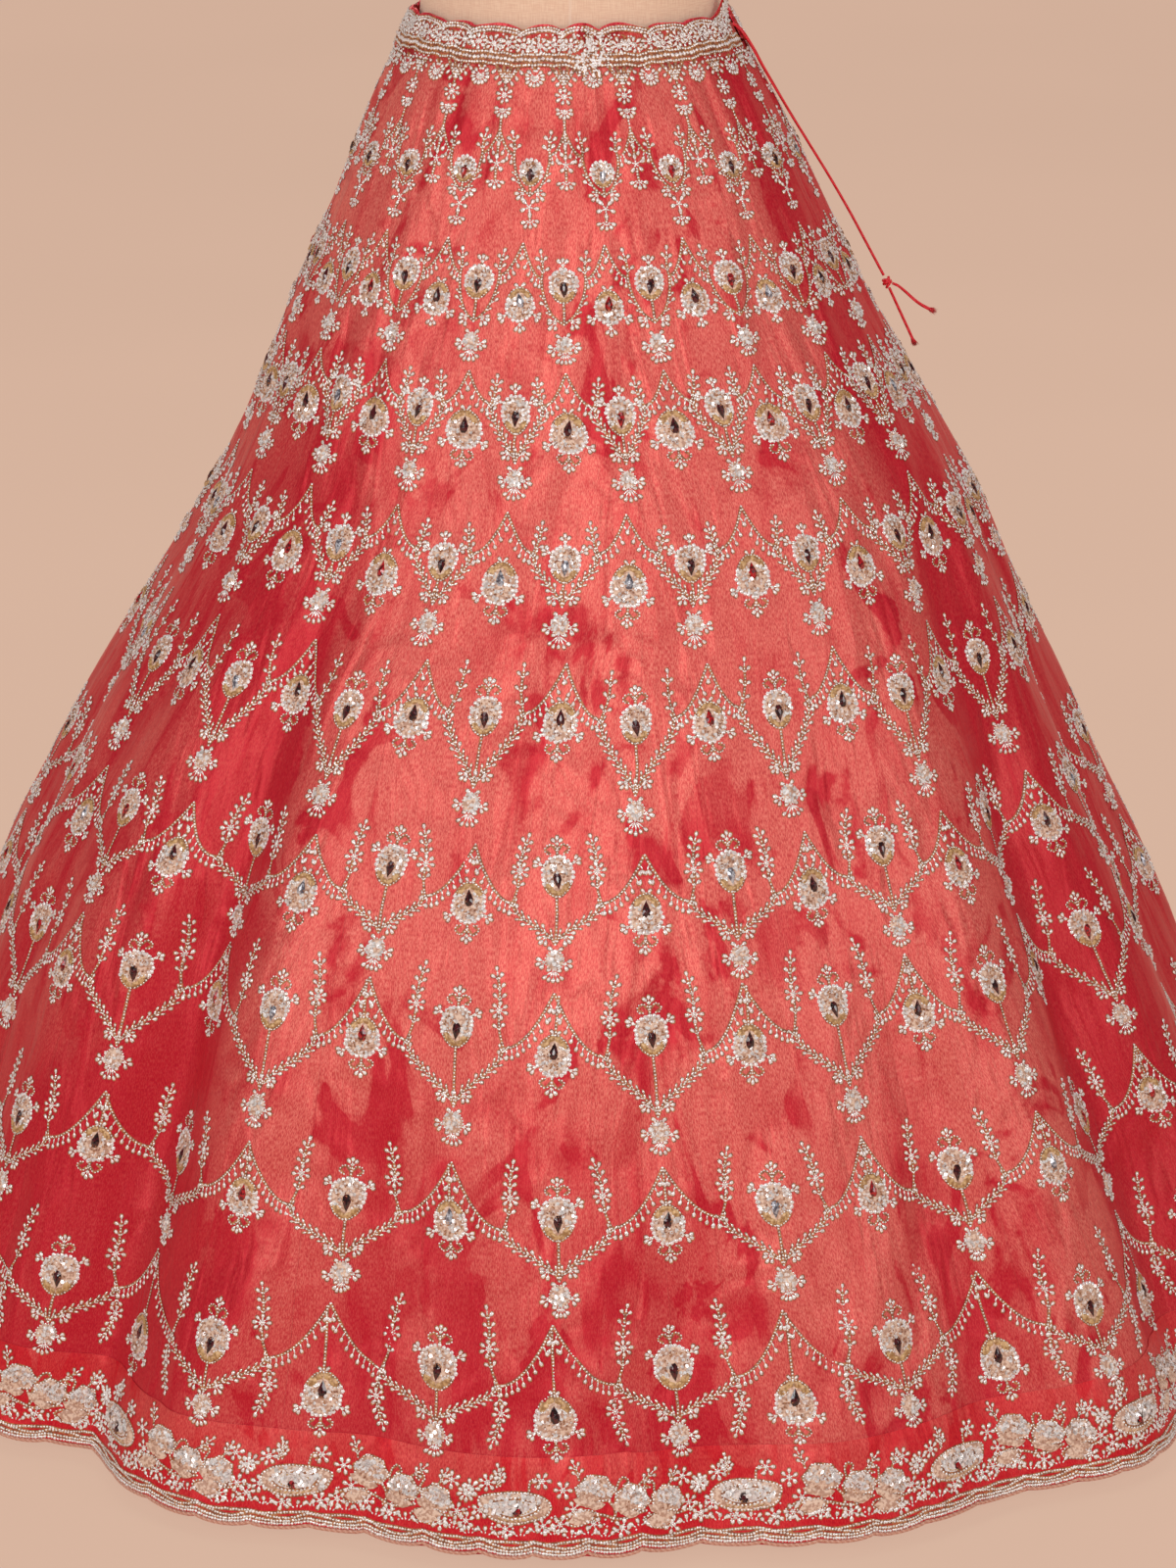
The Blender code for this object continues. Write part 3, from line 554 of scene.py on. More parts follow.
def silk(name, light, deep, patchy=1.0, rough=0.40, lift=0.36):
    """Two-tone silk: a fine upright grain, painted lighter where the cloth is taken to face the light and painted deep
    crimson as shade where the mesh's attribute lays it in.
    """
    k = Look(name)
    k.set(ior=1.50, metal=0.18, tint=(1.0, 0.48, 0.40), sheen=0.04, sheen_rough=0.45,
          sheen_tint=(1.0, 0.48, 0.42))
    fine = k.noise(k.coords("UV", (1350.0, 330.0, 1.0)), detail=2.0, rough=0.6)
    streak = k.noise(k.coords("UV", (640.0, 70.0, 1.0)), detail=2.0, rough=0.6)
    cross = k.noise(k.coords("UV", (90.0, 1500.0, 1.0)), detail=1.0)
    drag = k.noise(k.coords("UV", (58.0, 9.0, 1.0)), detail=2.0, rough=0.55, distortion=0.5)
    wide = k.noise(k.coords("OBJECT", (1.0, 1.0, 0.72)), scale=7.5, detail=2.0, rough=0.5,
                   distortion=0.5)
    cloud = k.noise(k.coords("OBJECT", (1.15, 1.15, 0.62)), scale=16.0, detail=3.5, rough=0.56,
                    distortion=1.3)
    dents = k.noise(k.coords("OBJECT", (1.0, 1.0, 0.55)), scale=24.0, detail=2.0, rough=0.45,
                    distortion=0.6)
    # painted shade: the mesh attribute read here lays the deep crimson into folds, creases, hollows and the sides
    deep_tone_and_shade = k.attribute("deep_tone_and_shade")
    patch = k.math("MULTIPLY", k.ramp(cloud, 0.52, 0.62), k.ramp(wide, 0.36, 0.52, 0.35, 1.0))
    amount = k.math("ADD", deep_tone_and_shade, k.math("MULTIPLY", patch, 0.95 * patchy), clamp=True)
    amount = k.math("ADD", amount, k.math("MULTIPLY", k.math("SUBTRACT", wide, 0.5), 0.60 * patchy))
    amount = k.math("ADD", amount, k.ramp(drag, 0.50, 0.72, -0.04, 0.42 * patchy), clamp=True)
    base = k.mix(amount, light, deep)
    grain = k.math("ADD", k.math("MULTIPLY", fine, 0.80), k.math("MULTIPLY", streak, 0.20))
    light_share = k.math("SUBTRACT", 1.0, k.math("MULTIPLY", amount, 0.80))
    lifted = k.mix(k.math("MULTIPLY", k.ramp(grain, 0.44, 0.62, 0.0, lift), light_share), base,
                   (1.0, 0.44, 0.33))
    darker = k.mix(k.ramp(grain, 0.36, 0.52, 0.46, 0.0), lifted, (0.40, 0.008, 0.028))
    seam = k.ramp(k.attribute("seam"), 0.10, 0.95, 0.10, 0.0)
    k.color(k.mix(seam, darker, (0.30, 0.004, 0.012)))
    k.rough(k.math("ADD", k.math("MULTIPLY", grain, 0.20), rough - 0.10))
    height = k.math("ADD", k.math("MULTIPLY", grain, 1.0), k.math("MULTIPLY", cross, 0.25))
    soft = k.bump(dents, 0.0066, 0.75, k.bump(drag, 0.0034, 0.7))
    k.normal(k.bump(height, 0.00022, 0.5, soft))
    return k.mat


def stitched(name, color, dark, rough, scale=(1400.0, 1400.0, 1400.0), metal=0.0, **more):
    """Small pieces: a slight change of colour from piece to piece and a fine bump."""
    k = Look(name)
    k.set(metal=metal, **more)
    spread = k.noise(k.coords("OBJECT", (1.0, 1.0, 1.0)), scale=420.0, detail=1.0)
    fine = k.noise(k.coords("OBJECT", scale), detail=1.0)
    k.color(k.mix(k.ramp(spread, 0.40, 0.60), dark, color))
    k.rough(k.math("ADD", k.math("MULTIPLY", spread, 0.16), rough - 0.08))
    k.normal(k.bump(fine, 0.00012, 0.4))
    return k.mat


SILK = silk("coral_silk", (0.76, 0.104, 0.094), (0.58, 0.005, 0.024))
# painted shade: the belt's silk is a darker copy of the coral silk, for the shade between its dense beads
SHADED_BELT_SILK = silk("belt_silk", (0.58, 0.040, 0.036), (0.36, 0.003, 0.010), lift=0.2)
BORDER_SILK = silk("border_silk", (0.76, 0.104, 0.094), (0.66, 0.004, 0.018), patchy=0.7, lift=0.30)
RED_SATIN = silk("red_satin", (0.80, 0.010, 0.055), (0.58, 0.004, 0.024), patchy=0.3, rough=0.36)

SILVER = stitched("silver_beads", (1.0, 0.97, 0.95), (0.78, 0.69, 0.63), 0.20, metal=0.25, ior=1.8,
                  coat=0.5, coat_rough=0.08)
# dark gold-brown thread, which also serves as painted shade round and between the beads and drops
THREAD_AND_SHADE = stitched("gold_brown_thread_and_shade", (0.50, 0.20, 0.070), (0.25, 0.080, 0.028), 0.5)
DROPS = stitched("clear_drops", (0.99, 0.94, 0.92), (0.76, 0.64, 0.62), 0.16, ior=1.9,
                 coat=0.6, coat_rough=0.06)
SEQUIN = stitched("bright_sequins", (1.0, 0.98, 0.97), (0.76, 0.68, 0.65), 0.18, metal=0.22,
                  ior=1.9)
GOLD = stitched("gold_leaves", (0.66, 0.40, 0.18), (0.40, 0.20, 0.075), 0.34,
                scale=(2600.0, 2600.0, 700.0), metal=0.12)
BEIGE = stitched("beige_thread", (0.84, 0.60, 0.46), (0.54, 0.30, 0.21), 0.5,
                 scale=(2400.0, 2400.0, 900.0), sheen=0.15)
GARNET = stitched("garnet_stones", (0.085, 0.004, 0.007), (0.016, 0.002, 0.003), 0.12, ior=1.6,
                  coat=0.3, coat_rough=0.05)
RUBY = stitched("red_stones", (0.50, 0.005, 0.010), (0.10, 0.002, 0.004), 0.12, ior=1.6,
                coat=0.3, coat_rough=0.05)
CLEAR = stitched("clear_stones", (0.55, 0.56, 0.62), (0.12, 0.11, 0.14), 0.10, ior=1.8, metal=0.2,
                 coat=0.4, coat_rough=0.04)
KINDS = [SILVER, THREAD_AND_SHADE, DROPS, SEQUIN, GOLD, BEIGE, GARNET, RUBY, CLEAR]
M_BEAD, M_THREAD_AND_SHADE, M_DROP, M_SEQ, M_GOLD, M_BEIGE, M_GARNET, M_RUBY, M_CLEAR = range(9)


# ------------------------------------------------------------------ small shapes
def dome(sides, sink=-0.2):
    a = np.arange(sides) * 2 * math.pi / sides
    v = [(math.cos(t), math.sin(t), sink) for t in a] + [(0, 0, 1)]
    return np.array(v, float), np.array([(k, (k + 1) % sides, sides) for k in range(sides)])


def disc(sides):
    a = np.arange(sides) * 2 * math.pi / sides
    v = [(math.cos(t), math.sin(t), 0.0) for t in a]
    return np.array(v, float), np.array([(0, k, k + 1) for k in range(1, sides - 1)])


def petal():
    """Small drop, narrow end at -x."""
    v = [(-1, 0, -.1), (-.05, -.84, -.1), (.80, -.64, -.1), (.80, .64, -.1), (-.05, .84, -.1),
         (.26, 0, 1)]
    return np.array(v, float), np.array([(0, 1, 5), (1, 2, 5), (2, 3, 5), (3, 4, 5), (4, 0, 5)])


def plate():
    """Flat loop of thread under a small drop; it reaches past the drop, so its dark rim is also painted shade round it.
    """
    v = [(-1.05, 0, 0), (.10, -1.0, 0), (1.0, -.55, 0), (1.0, .55, 0), (.10, 1.0, 0)]
    return np.array(v, float), np.array([(0, 1, 4), (1, 2, 4), (2, 3, 4)])


def leaf():
    v = [(-1, 0, 0), (-.35, -1, 0), (.45, -.8, 0), (1, 0, 0), (.45, .8, 0), (-.35, 1, 0),
         (-.4, 0, 1), (.4, 0, .9)]
    return np.array(v, float), np.array([(0, 1, 6), (1, 2, 7), (1, 7, 6), (2, 3, 7), (3, 4, 7),
                                         (4, 5, 6), (4, 6, 7), (5, 0, 6)])


def stone():
    """Pointed drop, point towards -y, with a flat top and slanting sides."""
    rim = [(0, -1.0), (.42, -.45), (.78, .12), (.70, .62), (.36, .93), (-.36, .93), (-.70, .62),
           (-.78, .12), (-.42, -.45)]
    v = [(x, y, 0.0) for x, y in rim] + [(.30 * x, .36 * y + .08, 1.0) for x, y in rim]
    n = len(rim)
    f = []
    for k in range(n):
        m = (k + 1) % n
        f += [(k, m, n + m), (k, n + m, n + k)]
    f += [(n, n + k, n + k + 1) for k in range(1, n - 1)]
    return np.array(v, float), np.array(f)


SHAPES = {"bead": dome(4), "pearl": dome(5), "round": dome(6), "sequin": disc(5),
          "petal": petal(), "plate": plate(), "leaf": leaf(), "stone": stone()}
FLAT_SHAPES = ("stone", "sequin")


class Work:
    """What is sewn on one cloth. It is joined into one mesh for each quarter."""

    def __init__(self, cloth, lift, height=None):
        self.cloth, self.lift, self.height = cloth, lift, height
        self.items = {key: [] for key in SHAPES}
        self.skins = []
        self.count = 0

    def add(self, shape, angle, row, turn, sx, sy, sz, mat, lift=0.0, tilt=0.0):
        angle = np.atleast_1d(np.asarray(angle, float))
        cols = [angle] + [np.broadcast_to(np.asarray(x, float), angle.shape)
                          for x in (row, turn, sx, sy, sz, mat, lift, tilt)]
        self.items[shape].append(np.stack(cols, 1))

    def skin(self, angle, row, lift, faces, mat):
        self.skins.append((np.asarray(angle, float), np.asarray(row, float),
                           np.broadcast_to(np.asarray(lift, float), np.shape(angle)),
                           np.asarray(faces, int), mat))

    def lifts(self, angle, row):
        extra = 0.0 if self.height is None else self.height(angle, row)
        return self.lift + extra

    def build(self, name):
        parts = {q: ([], [], [], [], 0) for q in range(4)}
        store = {q: {"v": [], "f": [], "m": [], "s": [], "n": 0} for q in range(4)}
        rng = np.random.default_rng(5)
        for shape, rows in self.items.items():
            if not rows:
                continue
            a = np.concatenate(rows)
            base, faces = SHAPES[shape]
            quarter = (((a[:, 0] + 45.0) % 360.0) // 90.0).astype(int)
            for q in range(4):
                b = a[quarter == q]
                if not len(b):
                    continue
                p, n, t, u = self.cloth.sample(b[:, 0], b[:, 1])
                c, s = np.cos(b[:, 2])[:, None], np.sin(b[:, 2])[:, None]
                x_dir, y_dir = t * c + u * s, u * c - t * s
                lean = b[:, 8][:, None]
                way = rng.uniform(0, 2 * math.pi, len(b))[:, None]
                n2 = n + lean * (np.cos(way) * t + np.sin(way) * u)
                n2 /= np.linalg.norm(n2, axis=1, keepdims=True)
                x_dir = x_dir - n2 * (x_dir * n2).sum(1, keepdims=True)
                y_dir = y_dir - n2 * (y_dir * n2).sum(1, keepdims=True)
                centre = p + n * (0.001 * (b[:, 7] + self.lifts(b[:, 0], b[:, 1])))[:, None]
                vv = (centre[:, None, :]
                      + 0.001 * (x_dir[:, None, :] * (b[:, 3, None] * base[None, :, 0])[..., None]
                                 + y_dir[:, None, :] * (b[:, 4, None] * base[None, :, 1])[..., None]
                                 + n2[:, None, :] * (b[:, 5, None] * base[None, :, 2])[..., None]))
                st = store[q]
                ff = faces[None] + (st["n"] + np.arange(len(b)) * len(base))[:, None, None]
                st["v"].append(vv.reshape(-1, 3))
                st["f"].append(ff.reshape(-1, 3))
                st["m"].append(np.repeat(b[:, 6].astype(int), len(faces)))
                st["s"].append(np.full(len(b) * len(faces), shape not in FLAT_SHAPES))
                st["n"] += len(b) * len(base)
        if self.skins:
            ang = np.concatenate([s[0] for s in self.skins])
            row = np.concatenate([s[1] for s in self.skins])
            up = np.concatenate([s[2] for s in self.skins])
            p, n, t, u = self.cloth.sample(ang, row)
            pts = p + n * (0.001 * (up + self.lifts(ang, row)))[:, None]
            at = 0
            for a, r, z, faces, mat in self.skins:
                q = int(((a.mean() + 45.0) % 360.0) // 90.0)
                st = store[q]
                st["v"].append(pts[at:at + len(a)])
                st["f"].append(faces + st["n"])
                st["m"].append(np.full(len(faces), mat))
                st["s"].append(np.full(len(faces), True))
                st["n"] += len(a)
                at += len(a)
        made = []
        for q, side in enumerate(("front", "right", "back", "left")):
            st = store[q]
            if not st["n"]:
                continue
            verts, faces = np.concatenate(st["v"]), np.concatenate(st["f"])
            mats, flags = np.concatenate(st["m"]), np.concatenate(st["s"])
            used = sorted(set(mats.tolist()))
            where = np.zeros(len(KINDS), int)
            where[used] = np.arange(len(used))
            obj = make_mesh("%s_%s" % (name, side), verts, faces, [KINDS[k] for k in used],
                            where[mats], flags)
            made.append(obj)
            self.count += len(faces)
            print(obj.name, len(faces))
        return made


class Spot:
    """A place on the cloth with its own millimetres: x to the right, y down."""

    def __init__(self, work, angle, row, size=1.0, turn=0.0, flip=1.0, mirror=1.0):
        self.w, self.angle, self.row = work, angle, row
        self.size, self.turn, self.flip, self.mirror = size, math.radians(turn), flip, mirror

    def vec(self, x, y):
        x, y = np.asarray(x, float) * self.mirror * self.size, np.asarray(y, float) * self.flip * self.size
        c, s = math.cos(self.turn), math.sin(self.turn)
        return c * x - s * y, s * x + c * y

    def at(self, x, y):
        x, y = self.vec(x, y)
        row = self.row + y / self.w.cloth.mm_row
        return self.angle + x / self.w.cloth.mm_deg(self.angle, row), row

    def heading(self, dx, dy):
        x, y = self.vec(dx, dy)
        return np.arctan2(-y, x)


def curve_through(points, per=7):
    """Catmull-Rom curve through (x, y) points."""
    p = np.asarray(points, float)
    q = np.vstack([2 * p[0] - p[1], p, 2 * p[-1] - p[-2]])
    t = np.linspace(0, 1, per, endpoint=False)[:, None]
    out = []
    for k in range(len(p) - 1):
        a, b, c, d = q[k], q[k + 1], q[k + 2], q[k + 3]
        out.append(0.5 * (2 * b + (c - a) * t + (2 * a - 5 * b + 4 * c - d) * t ** 2
                          + (3 * b - a - 3 * c + d) * t ** 3))
    return np.vstack(out + [p[-1:]])


def bead_line(work, angle, row, pitch=2.3, radius=0.66, mat=M_BEAD, thread=True, closed=False,
              lift=0.0):
    """Beads on a couched thread along a path of angles and rows."""
    radius, pitch = 1.26 * radius, 1.10 * pitch
    mid = work.cloth.mm_deg(angle, row)
    dx, dy = np.diff(angle) * 0.5 * (mid[1:] + mid[:-1]), np.diff(row) * work.cloth.mm_row
    run = np.concatenate([[0.0], np.cumsum(np.hypot(dx, dy))])
    if run[-1] < 0.6 * pitch:
        return
    n = max(2, int(round(run[-1] / pitch)) + 1)
    at = np.linspace(0, run[-1], n)
    a, r = np.interp(at, run, angle), np.interp(at, run, row)
    mm = work.cloth.mm_deg(a, r)
    gx, gy = np.gradient(a) * mm, np.gradient(r) * work.cloth.mm_row
    turn = np.arctan2(-gy, gx)
    keep = slice(0, n - 1) if closed else slice(0, n)
    k = len(a[keep])
    size = radius * RNG.uniform(0.86, 1.16, k)
    work.add("bead", a[keep] + RNG.normal(0, 0.16, k) / mm[keep],
             r[keep] + RNG.normal(0, 0.16, k) / work.cloth.mm_row,
             turn[keep] + RNG.normal(0, 0.25, k), 1.20 * size, 1.06 * size, 0.90 * size, mat,
             lift + 0.16)
    # the thread ribbon under the beads is wider than they are: couching thread, and painted shade round and between the
    # beads
    if thread:
        m = max(2, int(run[-1] / 5.2) + 1)
        at = np.linspace(0, run[-1], m)
        a, r = np.interp(at, run, angle), np.interp(at, run, row)
        mm = work.cloth.mm_deg(a, r)
        gx, gy = np.gradient(a) * mm, np.gradient(r) * work.cloth.mm_row
        g = np.hypot(gx, gy) + 1e-9
        w = radius * 1.42
        sx, sy = -gy / g * w, gx / g * w
        ang = np.stack([a + sx / mm, a - sx / mm], 1).ravel()
        row2 = np.stack([r + sy / work.cloth.mm_row, r - sy / work.cloth.mm_row], 1).ravel()
        i = 2 * np.arange(m - 1)
        faces = np.concatenate([np.stack([i, i + 2, i + 1], 1), np.stack([i + 1, i + 2, i + 3], 1)])
        work.skin(ang, row2, lift + 0.14, faces, M_THREAD_AND_SHADE)


def beads(spot, points, pitch=2.3, radius=0.66, per=6, **more):
    path = curve_through(points, per)
    a, r = spot.at(path[:, 0], path[:, 1])
    bead_line(spot.w, a, r, pitch, radius, **more)


def petals(spot, x, y, dx, dy, length=4.4, width=2.5, bright=0.20):
    """Small drops that start at (x, y) and point along (dx, dy)."""
    x, y, dx, dy = (np.atleast_1d(np.asarray(c, float)) for c in np.broadcast_arrays(x, y, dx, dy))
    g = np.hypot(dx, dy) + 1e-9
    dx, dy = dx / g, dy / g
    n = len(x)
    width = 1.16 * width
    long_ = length * RNG.uniform(0.90, 1.12, n)
    turn = spot.heading(dx, dy) + RNG.normal(0, 0.10, n)
    a, r = spot.at(x + dx * (long_ * 0.5 + 0.2), y + dy * (long_ * 0.5 + 0.2))
    lit = RNG.random(n) < bright
    spot.w.add("petal", a, r, turn, long_ * 0.5 * (1 + 0.08 * lit), width * 0.5 * (1 + 0.18 * lit),
               1.15, np.where(lit, M_SEQ, M_DROP), 0.22)
    # dark thread rim round each drop, partly painted shade
    spot.w.add("plate", a, r, turn, long_ * 0.5 + 0.45, width * 0.5 + 0.55, 1.0, M_THREAD_AND_SHADE, 0.12)


def drops(spot, x, y, dx, dy, length=4.6, size=1.0, bright=0.16):
    """A long bead from (x, y) along (dx, dy) with a drop at its end."""
    x, y, dx, dy = (np.atleast_1d(np.asarray(c, float)) for c in np.broadcast_arrays(x, y, dx, dy))
    g = np.hypot(dx, dy) + 1e-9
    dx, dy = dx / g, dy / g
    n = len(x)
    long_ = length * RNG.uniform(0.88, 1.12, n)
    turn = spot.heading(dx, dy) + RNG.normal(0, 0.07, n)
    a, r = spot.at(x + dx * long_ * 0.5, y + dy * long_ * 0.5)
    spot.w.add("bead", a, r, turn, long_ * 0.56, 0.68 * size, 0.80 * size, M_BEAD, 0.10)
    petals(spot, x + dx * (long_ - 0.3), y + dy * (long_ - 0.3), dx, dy, 4.0 * size, 2.35 * size, bright)


def sprig3(spot, x, y, dx, dy, length=3.6, size=1.0, spread=0.62, stem=0.0):
    """Three drops from one point."""
    g = math.hypot(dx, dy)
    dx, dy = dx / g, dy / g
    if stem:
        beads(spot, [(x, y), (x + dx * stem, y + dy * stem)], per=2)
        x, y = x + dx * stem, y + dy * stem
    turn = np.array([-spread, 0.0, spread])
    c, s = np.cos(turn), np.sin(turn)
    drops(spot, np.full(3, x), np.full(3, y), c * dx - s * dy, s * dx + c * dy,
          length * np.array([0.8, 1.0, 0.8]), size, 0.25)


def flower(spot, x, y, count=5, length=2.6, size=1.05, turn=0.0):
    a = turn + np.arange(count) * 2 * math.pi / count
    drops(spot, x + 0.6 * np.cos(a), y + 0.6 * np.sin(a), np.cos(a), np.sin(a),
          length * 0.85, size, 0.22)
    ang, row = spot.at(x, y)
    spot.w.add("pearl", ang, row, 0.0, 1.3, 1.3, 1.6, M_BEAD, 0.25)


def leafy(spot, x0, y0, x1, y1, pairs, length=2.6, size=0.9, open_=0.75, tip=True, bend=0.0,
          line=True):
    """A thin stem of beads with pairs of small drops and a drop at its tip."""
    mx, my = 0.5 * (x0 + x1) - bend * (y1 - y0), 0.5 * (y0 + y1) + bend * (x1 - x0)
    path = curve_through([(x0, y0), (mx, my), (x1, y1)], 8)
    if line:
        a, r = spot.at(path[:, 0], path[:, 1])
        bead_line(spot.w, a, r, 2.3, 0.60)
    run = np.linspace(0, 1, len(path))
    for k in range(pairs):
        t = (k + 0.6) / (pairs + 0.1)
        x, y = np.interp(t, run, path[:, 0]), np.interp(t, run, path[:, 1])
        t2 = min(1.0, t + 0.08)
        dx, dy = np.interp(t2, run, path[:, 0]) - x, np.interp(t2, run, path[:, 1]) - y
        if math.hypot(dx, dy) < 1e-6:
            dx, dy = x1 - x0, y1 - y0
        g = math.hypot(dx, dy)
        dx, dy = dx / g, dy / g
        c, s = math.cos(open_), math.sin(open_) * np.array([-1.0, 1.0])
        drops(spot, np.full(2, x), np.full(2, y), c * dx - s * dy, s * dx + c * dy,
              length * (1.0 - 0.12 * k / max(pairs, 1)), size, 0.22)
    if tip:
        dx, dy = path[-1] - path[-2]
        drops(spot, path[-1, 0], path[-1, 1], dx, dy, length, size, 0.22)


def bead_leaf(spot, x, y, dx, dy, length=5.2):
    """Two long beads side by side with the thread under them, as one slim leaf."""
    g = math.hypot(dx, dy)
    dx, dy = dx / g, dy / g
    turn = float(spot.heading(dx, dy))
    for share in (0.28, 0.76):
        a, r = spot.at(x + dx * length * share, y + dy * length * share)
        spot.w.add("bead", a, r, turn + RNG.normal(0, 0.12), length * 0.27, 1.0, 1.0, M_BEAD, 0.20)
    ax, ay = -dy * 0.9, dx * 0.9
    x2, y2 = x + dx * length, y + dy * length
    a, r = spot.at(np.array([x + ax, x - ax, x2 + ax, x2 - ax]), np.array([y + ay, y - ay, y2 + ay, y2 - ay]))
    faces = np.array([(0, 1, 2), (1, 3, 2)])
    if spot.flip * spot.mirror < 0:
        faces = faces[:, ::-1]
    spot.w.skin(a, r, 0.26, faces, M_THREAD_AND_SHADE)


def curl(spot, x, y, side, radius=4.0):
    """A small open spiral; it starts at (x, y) and rolls outwards and down."""
    pts = []
    for k in range(9):
        t = k / 8.0
        a = math.pi * (1.0 + 1.55 * t)
        r = radius * (1.0 - 0.45 * t)
        pts.append((x + side * (radius + r * math.cos(a)), y + r * math.sin(a)))
    beads(spot, pts, pitch=2.0, radius=0.58, per=3)


# a plain egg, 28.3 mm high and 22.6 mm wide, fuller towards the crown: (down, half width)
BODY = [(-2.75 + 14.15 * math.cos(a), 11.3 * math.sin(a) * (1.0 - 0.16 * math.cos(a)))
        for a in (math.pi * k / 11.0 for k in range(12))]


def buta(spot, width, height, stone_kind, curls, top_tuft, sides=True):
    """Flower with a stone, two gold leaves at its base and a beaded crown above."""
    sx, sy = width / 22.0, height / 31.0
    right = [(0.93 * x * sx, y * sy) for y, x in BODY]
    outline = right + [(-x, y) for x, y in right[-2:0:-1]]
    # white beads round the leaves at the base
    low = right[:5]
    path = curve_through([(-x, y) for x, y in low[::-1]] + low[1:], 4)
    a, r = spot.at(path[:, 0] * 1.04, path[:, 1] * 1.04)
    bead_line(spot.w, a, r, 2.2, 0.66)
    # domed bed of pale stitches
    ring = np.array(outline)
    n = len(ring)
    inner = ring * 0.62 + np.array([0.0, -2.4 * sy]) * 0.38
    px = np.concatenate([ring[:, 0] * 0.96, inner[:, 0], [0.0]])
    py = np.concatenate([ring[:, 1] * 0.96 - 0.1, inner[:, 1], [-3.0 * sy]])
    pz = np.concatenate([np.full(n, 0.10), np.full(n, 0.85), [1.05]])
    i = np.arange(n)
    j = (i + 1) % n
    faces = np.concatenate([np.stack([i, n + i, j], 1), np.stack([j, n + i, n + j], 1),
                            np.stack([n + i, np.full(n, 2 * n), n + j], 1)])
    if spot.flip * spot.mirror < 0:
        faces = faces[:, ::-1]
    a, r = spot.at(px, py)
    spot.w.skin(a, r, pz, faces, M_BEIGE)
    # round pieces that overlap along the crown, so that its edge is lobed
    crown = curve_through([(x, y) for x, y in right[4:]] + [(-x, y) for x, y in right[-2:3:-1]], 3)
    run = np.concatenate([[0], np.cumsum(np.hypot(*np.diff(crown, axis=0).T))])
    m = int(run[-1] / 3.3)
    at = (np.arange(m) + 0.5) / m * run[-1]
    cx, cy = np.interp(at, run, crown[:, 0]), np.interp(at, run, crown[:, 1])
    a, r = spot.at(cx * RNG.uniform(0.93, 1.06, m), cy * RNG.uniform(0.95, 1.04, m))
    kind = RNG.random(m)
    spot.w.add("pearl", a, r, RNG.uniform(0, 6, m), 1.85, 1.85, 1.25,
               np.where(kind < 0.45, M_SEQ, np.where(kind < 0.8, M_DROP, M_BEAD)), 0.20)
    # sequins and small beads over it
    m = int(24 + 16 * sx * sy)
    px, py = RNG.uniform(-9.8, 9.8, 4 * m) * sx, RNG.uniform(-16.0, 4.0, 4 * m) * sy
    wide = np.interp(py / sy, [b[0] for b in BODY[::-1]], [b[1] for b in BODY[::-1]]) * sx
    ok = (np.abs(px) < wide - 1.0) & (np.hypot(px / 3.6, (py - 0.5) / 6.0) > 1.0)
    px, py = px[ok][:m], py[ok][:m]
    a, r = spot.at(px, py)
    bright = RNG.random(len(px)) < 0.62
    spot.w.add("bead", a[~bright], r[~bright], 0.0, 0.95, 0.95, 0.95, M_DROP, 0.80)
    spot.w.add("sequin", a[bright], r[bright], RNG.uniform(0, 3, bright.sum()), 1.55, 1.55, 1.0,
               M_SEQ, 1.40, 0.42)
    # dark thread between them, partly painted shade in the gaps between the sequins
    m = 22
    a, r = spot.at(RNG.uniform(-8.4, 8.4, m) * sx, RNG.uniform(-14.0, 0.0, m) * sy)
    spot.w.add("bead", a, r, RNG.uniform(0, 3, m), 1.15, 0.62, 0.5, M_THREAD_AND_SHADE, 1.60)
    # gold leaves round the base
    for side in (-1, 1):
        beads(spot, [(side * 3.6 * sx, 3.4 * sy), (side * 6.6 * sx, 1.4 * sy), (side * 9.6 * sx, 2.2 * sy)],
              pitch=2.2, per=2, lift=0.95, thread=False)
        for (lx, ly, dx, dy, ll, ww) in ((5.6, 4.9, 0.55, -0.84, 4.4, 2.5),
                                         (2.3, 8.6, 0.80, -0.60, 3.4, 2.0)):
            a, r = spot.at(side * lx * sx, ly * sy)
            spot.w.add("leaf", a, r, spot.heading(side * dx, dy), ll * sy, ww * sx, 1.2, M_GOLD, 0.60)
    # the stone in its rim
    a, r = spot.at(0.0, 0.4 * sy)
    up = spot.heading(0.0, -1.0) - math.pi / 2 + RNG.normal(0, 0.06)
    spot.w.add("round", a, r, 0.0, 3.7, 5.8, 0.7, M_GARNET, 0.70)
    spot.w.add("stone", a, r, up, 3.9 * sx ** 0.4, 6.5 * sy ** 0.4, 1.6, stone_kind, 1.00)
    if sides:
        for side in (-1, 1):
            sprig3(spot, side * 9.6 * sx, -11.0 * sy, side * 1.0, -0.50, 2.8, 1.04, 0.60, stem=1.8)
    if curls:
        for side in (-1, 1):
            curl(spot, side * 0.6, -21.5 * sy, side, 4.9)
        beads(spot, [(0, -17.0 * sy), (0, -25.5 * sy)], per=3)
        sprig3(spot, 0.0, -25.0 * sy, 0.0, -1.0, 3.0, 1.05, 0.66)
    elif top_tuft:
        sprig3(spot, 0.0, -16.8 * sy, 0.0, -1.0, 3.2, 1.05, 0.62, stem=2.4)


